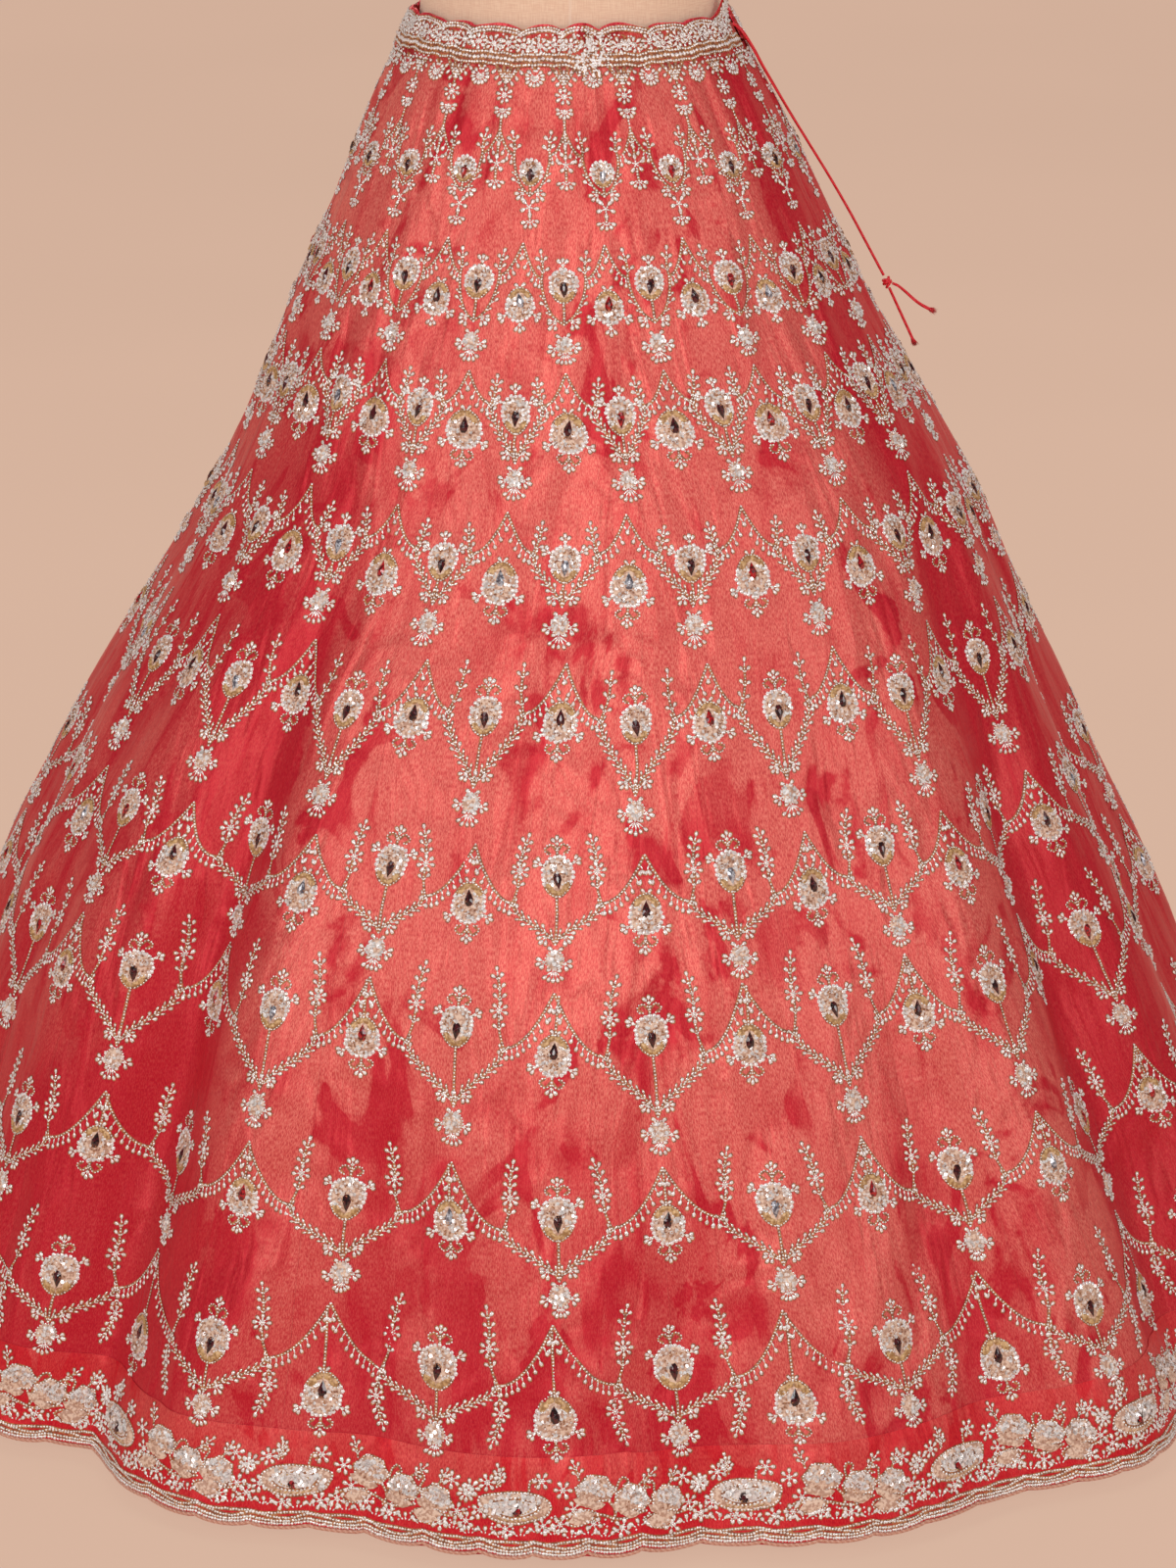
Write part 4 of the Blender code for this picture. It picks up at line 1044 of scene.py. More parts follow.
def rosette(spot, radius, side_sprigs=True, tuft=12.0):
    """Dense round of sequins and beads with sprigs and a leafy tuft under it."""
    n = int(2 * math.pi * radius / 2.15)
    t = np.arange(n) * 2 * math.pi / n
    a, r = spot.at(radius * np.cos(t), radius * 1.08 * np.sin(t))
    spot.w.add("bead", a, r, t, 0.85, 0.85, 0.95, M_BEAD, 0.15)
    px, py, pz = [0.0], [0.0], [1.3]
    for share, z in ((0.55, 1.1), (1.0, 0.15)):
        px += list(share * radius * np.cos(t[::2]))
        py += list(share * radius * 1.08 * np.sin(t[::2]))
        pz += [z] * len(t[::2])
    m = len(t[::2])
    i = np.arange(m)
    j = (i + 1) % m
    faces = np.concatenate([np.stack([np.zeros(m, int), 1 + j, 1 + i], 1),
                            np.stack([1 + i, 1 + j, 1 + m + i], 1),
                            np.stack([1 + j, 1 + m + j, 1 + m + i], 1)])
    a, r = spot.at(np.array(px), np.array(py))
    spot.w.skin(a, r, np.array(pz), faces, M_BEIGE)
    m = int(8 + radius * 3.0)
    rr, tt = radius * 0.98 * np.sqrt(RNG.random(m)), RNG.uniform(0, 2 * math.pi, m)
    a, r = spot.at(rr * np.cos(tt), rr * np.sin(tt))
    bright = RNG.random(m) < 0.6
    spot.w.add("sequin", a[bright], r[bright], 0.0, 1.75, 1.75, 1.0, M_SEQ, 1.6, 0.42)
    spot.w.add("bead", a[~bright], r[~bright], 0.0, 1.15, 1.15, 1.1, M_DROP, 0.95)
    if side_sprigs:
        for side in (-1, 1):
            sprig3(spot, side * (radius + 0.2), 1.6, side, 0.35, 2.8, 1.08, 0.72)
            petals(spot, side * 1.8, -radius - 0.5, side * 0.9, -0.5, 4.0, 2.4)
    if tuft > 3:
        q = np.array([-0.85, -0.42, 0.0, 0.42, 0.85])
        drops(spot, 1.2 * np.sin(q), radius + 1.2 + 0 * q, np.sin(q), np.cos(q), 0.34 * tuft, 1.0, 0.25)
        petals(spot, np.array([-2.0, 2.0]), np.full(2, radius + 0.9), np.array([-1.0, 1.0]), -0.15, 3.6, 2.2)


def stone_kind():
    x = RNG.random()
    return M_GARNET if x < 0.66 else (M_RUBY if x < 0.86 else M_CLEAR)


# ------------------------------------------------------------------ trellis
def skirt_lift(angle, v):
    """Millimetres of the layers under the stitches: the belt above, the border below."""
    return 1.25 * smooth((v - 0.9345) / 0.006) + 1.7 * smooth((0.0283 - v) / 0.003)


NET = Work(SKIRT, 0.12, skirt_lift)


def plain_fall(power):
    """A plain cosine fall from (1, 0) to (0, 1), narrower for a higher power."""
    t = np.linspace(0.0, 1.0, 7)
    return list(zip(np.clip(np.cos(0.5 * math.pi * t), 0.0, 1.0) ** power, t))


VINE_LOW, VINE_UPPER, VINE_WIDE = plain_fall(1.5), plain_fall(0.6), plain_fall(1.8)

for row in range(1, 10):
    (v_apex, v_swag, v_sprig, v_up, v_hang, v_join, v_rose, v_tuft, up_w, up_h, hang_w,
     hang_h) = ROWS[row - 1]
    drift = lambda at: (0.0030 * math.cos(math.radians(10.0 * (at - COLUMN_AT)))
                        * (0.6 + 0.4 * math.sin(math.radians(3.0 * at)))
                        + 0.0016 * math.sin(math.radians(7.0 * at + 60.0 * row))) * min(1.0, row / 5.0)
    vine = VINE_UPPER if row <= 2 else (VINE_LOW if row <= 5 else VINE_WIDE)
    for column in range(COLUMNS):
        centre = COLUMN_AT + 18.0 * column - (9.0 if row % 2 == 0 else 0.0) + ROW_TURN[row - 1]
        shift_v = drift(centre)
        sway = RNG.normal(0, 0.25)
        mm = mm_per_degree(centre, v_up)
        half = 9.0 * mm                                  # mm from stone to apex
        S = Spot(NET, centre + sway * 0.4, v_up + shift_v)
        y_of = lambda v: (v - v_up) * SLANT + float(RNG.normal(0, 0.5))
        y_apex, y_swag, y_sprig = (v_apex - v_up) * SLANT, y_of(v_swag), y_of(v_sprig)
        y_join, y_rose, y_tuft = y_of(v_join), y_of(v_rose), y_of(v_tuft)
        for side in (-1, 1):
            wide = half * RNG.uniform(0.47, 0.54)
            M = Spot(NET, S.angle, v_up + shift_v, mirror=side)
            y_apex = (v_apex + drift(centre + side * 9.0) - v_up - shift_v) * SLANT
            # the apex sits between two columns, on the nominal angle
            apex_x = (centre + side * 9.0 - S.angle) * side * mm_per_degree(centre, v_apex)
            wide_low = wide
            t = np.linspace(0, 1, 15)
            sx = apex_x + (wide_low - apex_x) * t
            sy = y_apex + (y_swag - y_apex) * (1 - (1 - t) ** 2)
            a, r = M.at(sx, sy)
            bead_line(NET, a, r, 2.3, 0.66)
            length = float(np.hypot(np.diff(sx), np.diff(sy)).sum())
            # fringe under the swag
            k = max(3, int(round(length / (6.2 if row > 2 else 5.6))))
            tt = (np.arange(k) + 0.75) / (k + 0.35)
            fx, fy = np.interp(tt, t, sx), np.interp(tt, t, sy)
            gx, gy = np.interp(tt, t, np.gradient(sx)), np.interp(tt, t, np.gradient(sy))
            g = np.hypot(gx, gy)
            nx, ny = gy / g, -gx / g            # towards the hanging side
            hang = 0.55 + 0.45 * (1 - tt)
            dx = nx * (0.25 + 0.30 * (1 - tt))
            drops(M, fx + 0.4 * dx, fy + 0.8, dx, np.abs(ny) * hang + 0.55,
                  4.3 if row > 2 else 3.0, 1.0 if row > 2 else 0.95)
            if row > 5:
                # small pairs that fill the point under the apex
                yy = y_apex + np.array([10.0, 17.0])
                petals(M, np.full(2, apex_x - 1.0), yy, np.full(2, -0.5), np.full(2, 1.0), 4.4, 2.6)
            # vine from the swag's end down to the junction
            pts = [(wide * x, y_swag + (y_join - y_swag) * y) for x, y in vine]
            path = curve_through(pts, 6)
            a, r = M.at(path[:, 0], path[:, 1])
            bead_line(NET, a, r, 2.3, 0.64)
            run = np.concatenate([[0], np.cumsum(np.hypot(*np.diff(path, axis=0).T))])
            pairs = int(run[-1] / (6.0 if row > 2 else 6.6))
            for m in range(pairs):
                s = run[-1] * (m + 0.55) / (pairs + 0.35)
                if row <= 2 and s < 0.3 * run[-1]:
                    continue
                x, y = np.interp(s, run, path[:, 0]), np.interp(s, run, path[:, 1])
                x2, y2 = np.interp(s - 1.5, run, path[:, 0]), np.interp(s - 1.5, run, path[:, 1])
                dx, dy = x2 - x, y2 - y
                g = math.hypot(dx, dy) + 1e-9
                dx, dy = dx / g, dy / g
                for way, white in ((-0.56, m % 4 == 1), (0.56, m % 2 == 1)):
                    if row <= 2 and way < 0:
                        continue              # inside the close U there is no room
                    c, q = math.cos(way), math.sin(way)
                    lx, ly = c * dx - q * dy, q * dx + c * dy
                    if white:
                        drops(M, x + 0.6 * lx, y + 0.6 * ly, lx, ly, 3.6, 0.92, 0.22)
                    else:
                        bead_leaf(M, x + 0.5 * lx, y + 0.5 * ly, lx, ly, 7.2 if row > 2 else 5.0)
            # three drops beside the junction
            low = 0.80 if row > 2 else 0.86
            x, y = np.interp(low * run[-1], run, path[:, 0]), np.interp(low * run[-1], run, path[:, 1])
            sprig3(M, x + 1.2, y + 0.8, 0.75, 0.85, 3.6, 1.05, 0.62)
            # upright sprig from the swag's end
            top_x = wide * (0.76 if row > 2 else 1.0)
            lean = RNG.uniform(-2.0, 2.0)
            if row >= 6:
                mid_y = y_swag + (y_sprig - y_swag) * 0.50
                leafy(M, wide, y_swag, top_x + 3.5, mid_y + 2.5, 1, 2.4, 0.95, tip=False, bend=-0.05)
                flower(M, top_x + 3.5, mid_y, 7 if column % 3 else 8, 2.9, 1.02, RNG.uniform(0, 1))
                leafy(M, top_x + 3.5, mid_y - 3.0, top_x + lean, y_sprig + 2.0, 3, 2.6, 1.0, bend=0.04)
            else:
                leafy(M, wide, y_swag, top_x + lean * 0.5, y_sprig, 3 if row > 2 else 2, 2.5, 0.98,
                      bend=-0.06)
            if row == 9:
                # sprig that hangs from the swag's end
                leafy(M, wide, y_swag, wide + 3.0, y_swag + 18, 1, 2.5, 1.0, tip=False)
                flower(M, wide + 3.2, y_swag + 21, 7, 2.8, 1.0, 0.3)
                leafy(M, wide + 3.2, y_swag + 25, wide - 2.0, y_swag + 41, 3, 2.6, 1.0)
        # stem, flower and rosette
        beads(S, [(0.0, 11.4 * up_h / 31.0), (RNG.normal(0, .5), 0.5 * (11 + y_join)), (0.0, y_join)], per=5)
        U = Spot(NET, S.angle, v_up + shift_v, turn=RNG.normal(0, 2.2))
        buta(U, up_w, up_h, stone_kind(), row >= 5, row > 1, sides=row >= 3 and row != 5)
        R = Spot(NET, S.angle, v_rose + shift_v, turn=RNG.normal(0, 2.5))
        if row == 1:
            flower(R, 0.0, 0.0, 5, 2.8, 1.1, 0.3)
            a = np.linspace(-1.25, 1.25, 5)
            drops(R, 1.4 * np.sin(a), 10.0 + np.cos(a), np.sin(a), np.cos(a), 2.2, 1.0, 0.3)
            beads(R, [(0, 3.5), (0, 10)], per=2)
        else:
            rosette(R, 6.0 if row < 4 else (6.8 if row < 7 else 7.6), True,
                    (v_tuft - v_rose) * SLANT - 6.0)
        # what hangs from the apex
        H = Spot(NET, centre + 9.0, v_hang + drift(centre + 9.0), turn=RNG.normal(0, 2.2), flip=-1.0)
        if row == 1:
            D = Spot(NET, centre + 9.0, 0.0925)
            flower(D, 0.0, 0.0, 5, 2.8, 1.1, 0.9)
            a = np.linspace(-1.25, 1.25, 5)
            drops(D, 1.4 * np.sin(a), 13.0 + np.cos(a), np.sin(a), np.cos(a), 2.2, 1.0, 0.3)
            beads(D, [(0, 3.5), (0, 13)], per=2)
            beads(D, [(0, -24.0), (0, -5.0)], per=2)
        else:
            buta(H, hang_w, hang_h, stone_kind(), row >= 3, row == 2, sides=True)
            reach = (v_hang - v_apex) * SLANT
            below = 11.4 * hang_h / 31.0
            if row >= 7 and reach - below > 12:
                beads(H, [(0.0, below), (0.0, reach - 2.0)], per=3)
            # small pair of leaves over it
            for side in (-1, 1):
                petals(H, side * 0.8, below + 0.8, side * 0.9, 0.8, 4.0, 2.1)


# ------------------------------------------------------------------ under the belt
def belt_low(angle):
    """Row (mm down from v = 0) of the belt's lowest line of beads."""
    return 30.0 - 4.0 * smooth((np.abs(wrap(angle)) - 20.0) / 45.0)


for column in range(COLUMNS):
    centre = COLUMN_AT - 9.0 + 18.0 * column
    C = Spot(NET, centre, float(belt_low(centre)) / 1165.0)
    to_v = lambda v: (v - float(belt_low(centre)) / 1165.0) * SLANT
    # cone of bead lines that meet in a point
    for x0 in (-9.4, -3.2, 3.2, 9.4):
        beads(C, [(x0, 0.5), (x0 * 0.60, 6.5), (x0 * 0.12, 13.6)], pitch=2.2, radius=0.74, per=4)
    for x0, y0 in ((-6.0, 2.6), (0.0, 2.4), (6.0, 2.6), (-3.6, 6.2), (0.0, 6.6), (3.6, 6.2), (0.0, 10.2)):
        petals(C, x0, y0, -0.25 * x0 / 6.0, 1.0, 3.4, 1.7, 0.1)
    for side in (-1, 1):
        for x0, y0 in ((9.0, 3.6), (6.2, 8.4), (3.0, 12.4)):
            petals(C, side * x0, y0, side * 0.75, 0.8, 4.2, 2.3, 0.2)
    flower(C, 0.0, to_v(0.0462), 8, 2.9, 0.95, 0.2)
    a = np.linspace(-1.7, 1.7, 7)
    y0 = to_v(0.0560)
    drops(C, 1.2 * np.sin(a), y0 + 1.2 * np.cos(a), np.sin(a), np.cos(a), 2.0, 0.98, 0.3)
    ang, row_at = C.at(0.0, y0)
    NET.add("pearl", ang, row_at, 0.0, 1.6, 1.6, 1.5, M_BEAD, 0.3)
    beads(C, [(0.0, 14.0), (0.0, to_v(0.0420))], per=3)
    beads(C, [(0.0, y0 + 6.0), (0.0, to_v(0.0700))], per=4)
    # round fan between the cones
    F = Spot(NET, centre + 9.0 + RNG.normal(0, 0.4), 0.0338)
    beads(F, [(-2.2, -7.6), (0.0, -4.6), (2.2, -7.6)], pitch=2.6, radius=0.95, per=3)
    a = np.linspace(-2.35, 2.35, 11)
    drops(F, 1.2 * np.sin(a), 1.2 * np.cos(a), np.sin(a), np.cos(a), 2.7, 0.98, 0.3)
    a, r = F.at(0.0, 0.0)
    NET.add("pearl", a, r, 0.0, 1.7, 1.7, 1.6, M_BEAD, 0.3)

net_pieces = NET.build("trellis_embroidery")

# ------------------------------------------------------------------ hem border embroidery
EDGE = Work(HEM, 1.30)


def wavy_row(v_of_mm_up, wave, pitch, radius, thread=True):
    """A row of beads right round, so many mm above the hem's edge."""
    ang = SEAM_AT + np.linspace(0, 360.0, 2400)
    row = 1.0 - (v_of_mm_up + wave * np.sin(np.radians(ang) * SCALLOPS * 1.0 + 0.6)
                 + 0.5 * np.sin(np.radians(ang) * 31)) / SLANT
    for q in range(8):                 # in eight stretches, so that each falls in its quarter
        s = slice(q * 300, min((q + 1) * 300 + 1, 2400))
        bead_line(EDGE, ang[s], row[s], pitch, radius, closed=True, thread=thread)


for mm_up, wave, radius in ((1.2, 0.0, 0.92), (3.5, 0.3, 0.92), (6.6, 1.1, 0.84), (9.2, -0.9, 0.80)):
    wavy_row(mm_up, wave, 2.0, radius, thread=mm_up > 3.0)


def medallion(spot, half_w, half_h, stone):
    """Big oval paisley: beige rim, ring of white beads, sequin heart and a stone."""
    n = 26
    t = np.arange(n) * 2 * math.pi / n
    tip = 1.0 + 0.20 * np.exp(-((t - 5.75) / 0.35) ** 2)
    ox, oy = half_w * np.cos(t) * tip, half_h * np.sin(t) * tip
    for share, z, mat, low in ((1.0, 1.5, M_BEIGE, 0.70), (0.70, 1.3, M_DROP, 0.0)):
        lev = [(share, 0.15 if share == 1.0 else 1.35), (0.5 * (share + low), z + 0.2), (low, z)]
        px = np.concatenate([s * ox for s, _ in lev])
        py = np.concatenate([s * oy for s, _ in lev])
        pz = np.concatenate([np.full(n, z2) for _, z2 in lev])
        i = np.arange(n)
        j = (i + 1) % n
        faces = []
        for k in range(2):
            faces += [np.stack([k * n + i, (k + 1) * n + i, k * n + j], 1),
                      np.stack([k * n + j, (k + 1) * n + i, (k + 1) * n + j], 1)]
        faces = np.concatenate(faces)[:, ::-1]
        if spot.flip * spot.mirror < 0:
            faces = faces[:, ::-1]
        a, r = spot.at(px, py)
        spot.w.skin(a, r, pz, faces, mat)
    for share, radius, pitch in ((1.03, 0.84, 2.2), (0.70, 0.95, 2.6)):
        a, r = spot.at(np.append(share * ox, share * ox[0]), np.append(share * oy, share * oy[0]))
        bead_line(spot.w, a, r, pitch, radius, closed=True, lift=0.0 if share > 1 else 1.4)
    t = np.linspace(0.45 * math.pi, 2.2 * math.pi, 30)
    a, r = spot.at(0.46 * half_w * np.cos(t), 0.44 * half_h * np.sin(t))
    bead_line(spot.w, a, r, 2.0, 0.7, mat=M_GOLD, lift=1.35, thread=False)
    m = 120
    rr, tt = np.sqrt(RNG.random(m)) * 0.95, RNG.uniform(0, 2 * math.pi, m)
    ok = (np.sin(tt) * rr < 0.30 + 0.25 * np.cos(tt)) & (rr * np.cos(tt) > -0.72)
    a, r = spot.at((rr * half_w * np.cos(tt))[ok], (rr * half_h * np.sin(tt))[ok])
    spot.w.add("sequin", a, r, 0.0, 1.85, 1.85, 1.0, np.where(RNG.random(len(a)) < 0.7, M_SEQ, M_DROP), 2.2, 0.42)
    a, r = spot.at(-0.04 * half_w, 0.26 * half_h)
    spot.w.add("round", a, r, 0.0, 4.0, 3.6, 0.8, M_GARNET, 1.6)
    spot.w.add("stone", a, r, spot.heading(0.5, 0.9) + math.pi / 2, 2.7, 3.9, 1.4, stone, 2.2)
    for k in range(7):                 # gold strokes on the lower rim
        x = half_w * (-0.55 + 0.17 * k)
        a, r = spot.at(x, 0.80 * half_h * math.sqrt(max(0.05, 1 - (x / half_w) ** 2)))
        spot.w.add("leaf", a, r, spot.heading(0.8, -0.45), 2.7, 0.8, 0.7, M_GOLD, 1.5)


def half_rose(spot, half_w, half_h):
    """Half-round rose of white sequins over a beige leaf."""
    n = 28
    t = np.linspace(0, 2 * math.pi, n, endpoint=False)
    ox = half_w * np.cos(t) * (1 + 0.10 * np.cos(7 * t))
    oy = half_h * (np.sin(t) * (1 + 0.10 * np.cos(7 * t)) + 0.12 * np.cos(2 * t))
    i = np.arange(n)
    j = (i + 1) % n
    px = np.concatenate([ox, 0.6 * ox, [0.0]])
    py = np.concatenate([oy, 0.6 * oy, [0.0]])
    pz = np.concatenate([np.full(n, 0.15), np.full(n, 1.6), [2.0]])
    faces = np.concatenate([np.stack([i, n + i, j], 1), np.stack([j, n + i, n + j], 1),
                            np.stack([n + i, np.full(n, 2 * n), n + j], 1)])[:, ::-1]
    faces = faces if spot.flip * spot.mirror > 0 else faces[:, ::-1]
    a, r = spot.at(px, py)
    spot.w.skin(a, r, pz, faces, M_BEIGE)
    a, r = spot.at(np.append(ox, ox[0]) * 1.05, np.append(oy, oy[0]) * 1.05)
    bead_line(spot.w, a, r, 2.1, 0.82, closed=True)
    m = 52
    x, y = RNG.uniform(-0.92, 0.95, 3 * m), RNG.uniform(-0.95, 0.55, 3 * m)
    ok = (np.hypot(x, y) < 0.95) & (y < 0.28 + 0.55 * x)
    x, y = x[ok][:m], y[ok][:m]
    far = np.hypot(x, y)
    a, r = spot.at(x * half_w, y * half_h)
    kind = RNG.random(len(x)) < 0.72
    spot.w.add("sequin", a, r, RNG.uniform(0, 3, len(x)), 2.0, 2.0, 1.0,
               np.where(kind, M_SEQ, M_DROP), 2.5 * (1 - 0.45 * far), 0.65)
    # dark thread among the sequins, partly painted shade in the gaps between them
    m = 12
    x, y = RNG.uniform(-0.7, 0.8, m), RNG.uniform(-0.8, 0.6, m)
    a, r = spot.at(x * half_w, y * half_h)
    spot.w.add("bead", a, r, RNG.uniform(0, 3, m), 1.1, 0.6, 0.7, M_THREAD_AND_SHADE, 2.6 * (1 - 0.45 * np.hypot(x, y)))
    # ribs of thread on the beige part
    for k in range(5):
        t0 = 1.9 + 0.33 * k
        x0, y0 = 0.35 * half_w * math.cos(t0), 0.35 * half_h * math.sin(t0)
        x1, y1 = 0.92 * half_w * math.cos(t0), 0.92 * half_h * math.sin(t0)
        a, r = spot.at(0.5 * (x0 + x1), 0.5 * (y0 + y1))
        spot.w.add("leaf", a, r, spot.heading(x1 - x0, y1 - y0), 0.5 * math.hypot(x1 - x0, y1 - y0), 0.8,
                   0.9, M_BEIGE, 1.3)
    # the beige leaf that holds it
    for k in range(3):
        a, r = spot.at(half_w * (-0.85 + 0.42 * k), half_h * (0.70 + 0.24 * k))
        spot.w.add("leaf", a, r, spot.heading(1.0, 0.55 - 0.30 * k), 6.4, 3.0, 1.3, M_BEIGE, 0.7)


UNITS = 22
for k in range(UNITS):
    at = -5.0 + 360.0 / UNITS * k + RNG.normal(0, 0.15)
    big = Spot(EDGE, at, 0.9700, turn=RNG.normal(-1, 1.5), mirror=1.0 if k % 5 else -1.0)
    medallion(big, 24.5, 11.0, M_GARNET if RNG.random() < 0.7 else M_RUBY)
    mm = float(mm_per_degree(at, 0.97))
    span = 360.0 / UNITS * mm
    O = Spot(EDGE, at, 0.9700)
    for n, (x, y, w, h) in enumerate(((0.34, -11.5, 13.0, 9.5), (0.50, -3.5, 11.5, 9.0),
                                      (0.655, -0.5, 11.0, 9.0))):
        R = Spot(EDGE, at + x * span / mm, 0.9700 + y / SLANT, turn=RNG.normal(-6 + 5 * n, 5.0))
        half_rose(R, w, h)
    # beige leaf below, between the roses
    for x, y, turn in ((0.28, 8.5, -10), (0.61, 14.0, 4)):
        L = Spot(EDGE, at + x * span / mm, 0.9700 + y / SLANT, turn=turn)
        a, r = L.at(0.0, 0.0)
        EDGE.add("leaf", a, r, L.heading(1.0, 0.0), 10.5, 5.0, 1.4, M_BEIGE, 0.3)
        pts = [(11.6 * math.cos(q), 5.2 * math.sin(q)) for q in np.linspace(0, 2 * math.pi, 12)]
        beads(L, pts, pitch=2.2, radius=0.6, per=2)
    # stems between them
    beads(O, [(0.17 * span, 10), (0.24 * span, 4), (0.36 * span, 6), (0.46 * span, 10),
              (0.56 * span, 6)], pitch=2.2, per=5)
    beads(O, [(0.60 * span, 6), (0.70 * span, 10), (0.80 * span, 6)], pitch=2.2, per=5)
    beads(O, [(0.40 * span, -3), (0.43 * span, 4), (0.41 * span, 11)], pitch=2.2, per=4)
    # gold curls that rise over the border
    for x, y, side in ((0.445, -17.0, 1), (0.60, -14.0, -1), (0.06, -18.0, 1)):
        G = Spot(EDGE, at + x * span / mm, 0.9700 + y / SLANT, turn=RNG.normal(0, 10))
        curl(G, 0.0, 0.0, side, 4.3)
        beads(G, [(0, 0), (-1.5, 7), (1.0, 12)], pitch=2.1, radius=0.58, per=3)
    # small flowers in the gaps and along the upper edge
    for x, y, count in ((-0.20, -12, 6), (0.20, -13, 5), (0.245, 1.5, 5), (0.79, -8.5, 8),
                         (0.72, -17, 5), (0.87, -17, 6), (0.745, 5.0, 5), (0.86, 4.0, 6),
                         (0.10, -21, 5), (0.33, 13.0, 5), (0.455, 15.0, 5), (0.80, 12.5, 5),
                         (-0.05, 15.5, 5), (0.12, 15.0, 5), (0.19, 12.0, 5), (0.68, 16.0, 5)):
        flower(O, x * span + RNG.normal(0, 1), y + RNG.normal(0, 0.7), count + 1, 2.5, 1.06,
               RNG.uniform(0, 1))
    for x, y, dx, dy, long_ in ((0.27, -20, -0.3, -1, 11), (0.53, -14, 0.9, -0.8, 12),
                                (-0.08, -15, 0.2, -1, 9), (0.93, -16, -0.2, -1, 11),
                                (0.66, -12, 0.5, -1, 9)):
        g = math.hypot(dx, dy)
        leafy(O, x * span, y, x * span + dx / g * long_, y + dy / g * long_, 2, 2.6, 0.85, bend=0.05)
    # leaves along the edge
    for x in np.linspace(0.02, 0.96, 14):
        q = RNG.choice([-1.0, 1.0])
        drops(O, np.full(3, x * span) + np.array([-2.0, 0.0, 2.0]), np.full(3, RNG.uniform(17.0, 22.5)),
              np.array([-0.7, 0.15 * q, 0.7]), np.array([-0.6, -1.0, -0.6]), 2.2, 1.0, 0.25)
    # the ground is sprinkled with single beads
    m = 60
    a, r = O.at(RNG.uniform(-0.05, 0.95, m) * span, RNG.uniform(2.0, 20.0, m))
    EDGE.add("bead", a, r, 0.0, 0.95, 0.95, 0.9, M_BEAD, 0.1)
edge_pieces = EDGE.build("hem_embroidery")

# ------------------------------------------------------------------ belt embroidery
BELTWORK = Work(BELT, 2.2)


def belt_corner(angle):
    return smooth((np.asarray(angle, float) % 360.0 - SLIT_FROM + 11.0) / 10.0) * (
        np.asarray(angle, float) % 360.0 <= SLIT_FROM + 0.01)


def belt_top(angle):
    """Row (mm down from v = 0) of the belt's scalloped upper edge."""
    a = np.radians(angle)
    place = 11.0 * a + 0.45 * np.sin(3 * a) + 0.35 * np.sin(8 * a) + 0.7
    lobe = np.sqrt(np.abs(np.sin(place)) + 0.004)
    front = 0.5 + 0.5 * np.cos(a)
    return (2.2 + 2.6 * front - (4.2 + 2.6 * front) * lobe * (0.88 + 0.14 * np.sin(5 * a + 1.0))
            - 12.0 * belt_corner(angle))


def belt_row(below_low, pitch, radius, kind=M_BEAD, wave=0.0, top=None, thread=True, lift=0.0):
    """Beads along the belt, by its lowest line or (top) by its upper edge."""
    ang = SLIT_TO + 0.4 + np.linspace(0, 360.0 - (SLIT_TO - SLIT_FROM) - 0.8, 2200)
    if top is None:
        row = (belt_low(ang) + below_low + wave * np.sin(np.radians(ang) * 37)
               + 0.55 * np.sin(np.radians(ang) * 19 + 1.0) + 0.35 * np.sin(np.radians(ang) * 53))
    else:
        row = belt_top(ang) + top
    for q in range(11):
        s = slice(q * 200, (q + 1) * 200 + 1)
        bead_line(BELTWORK, ang[s], row[s], pitch, radius, mat=kind, closed=True, thread=thread,
                  lift=lift)


belt_row(0.0, 2.1, 0.90, top=1.1)
belt_row(0.0, 2.2, 1.00, top=3.7, kind=M_DROP)
belt_row(-8.3, 2.1, 0.84, wave=0.4)
belt_row(-4.3, 2.9, 1.36, kind=M_DROP, lift=0.1)
belt_row(0.0, 2.1, 0.84, wave=0.4)
angle = SLIT_TO + 2.5
k = 0
while angle < 360.0 + SLIT_FROM - 2.0:
    low_row = float(belt_low(angle))
    B = Spot(BELTWORK, angle, low_row - 15.9 - 0.42 * CORNER_RISE * float(belt_corner(angle)) + RNG.normal(0, 0.5))
    count = 8 if k % 3 else 7
    t = RNG.uniform(0, 1) + np.arange(count) * 2 * math.pi / count
    size = 1.0 if k % 2 else 0.9
    drops(B, 0.8 * np.cos(t), 0.8 * np.sin(t), np.cos(t), np.sin(t), 2.1 * size, 1.0, bright=0.2)
    a, r = B.at(0.0, 0.0)
    BELTWORK.add("pearl", a, r, 0.0, 1.5, 1.5, 1.8, M_BEAD, 0.2)
    # gold stitches and small beads between the rosettes
    for x, y in ((6.0, -4.8), (6.1, 4.4)):
        if k % 2:
            sprig3(B, x, y, 0.1, 1.0 if y < 0 else -1.0, 1.6, 0.75, 0.8)
        else:
            bead_leaf(B, x - 1.5, y, 0.6, 1.0 if y < 0 else -1.0, 3.6)
    m = 22
    a, r = B.at(RNG.uniform(-6.8, 6.8, m), RNG.uniform(-9.5, 6.8, m))
    BELTWORK.add("bead", a, r, RNG.uniform(0, 3, m), 1.1, 0.95, 1.0, np.where(RNG.random(m) < 0.7, M_BEAD, M_THREAD_AND_SHADE),
                 0.1)
    angle += (11.8 + RNG.normal(0, 0.4)) / float(mm_per_degree(angle, 0.01))
    k += 1
# the raised corner is filled with small flowers
for n in range(5):
    P = Spot(BELTWORK, SLIT_FROM - 1.6 - 1.9 * (n % 3), -7.5 + 5.0 * (n // 2) + RNG.normal(0, 0.4))
    flower(P, 0.0, 0.0, 7, 2.2, 0.9, RNG.uniform(0, 1))
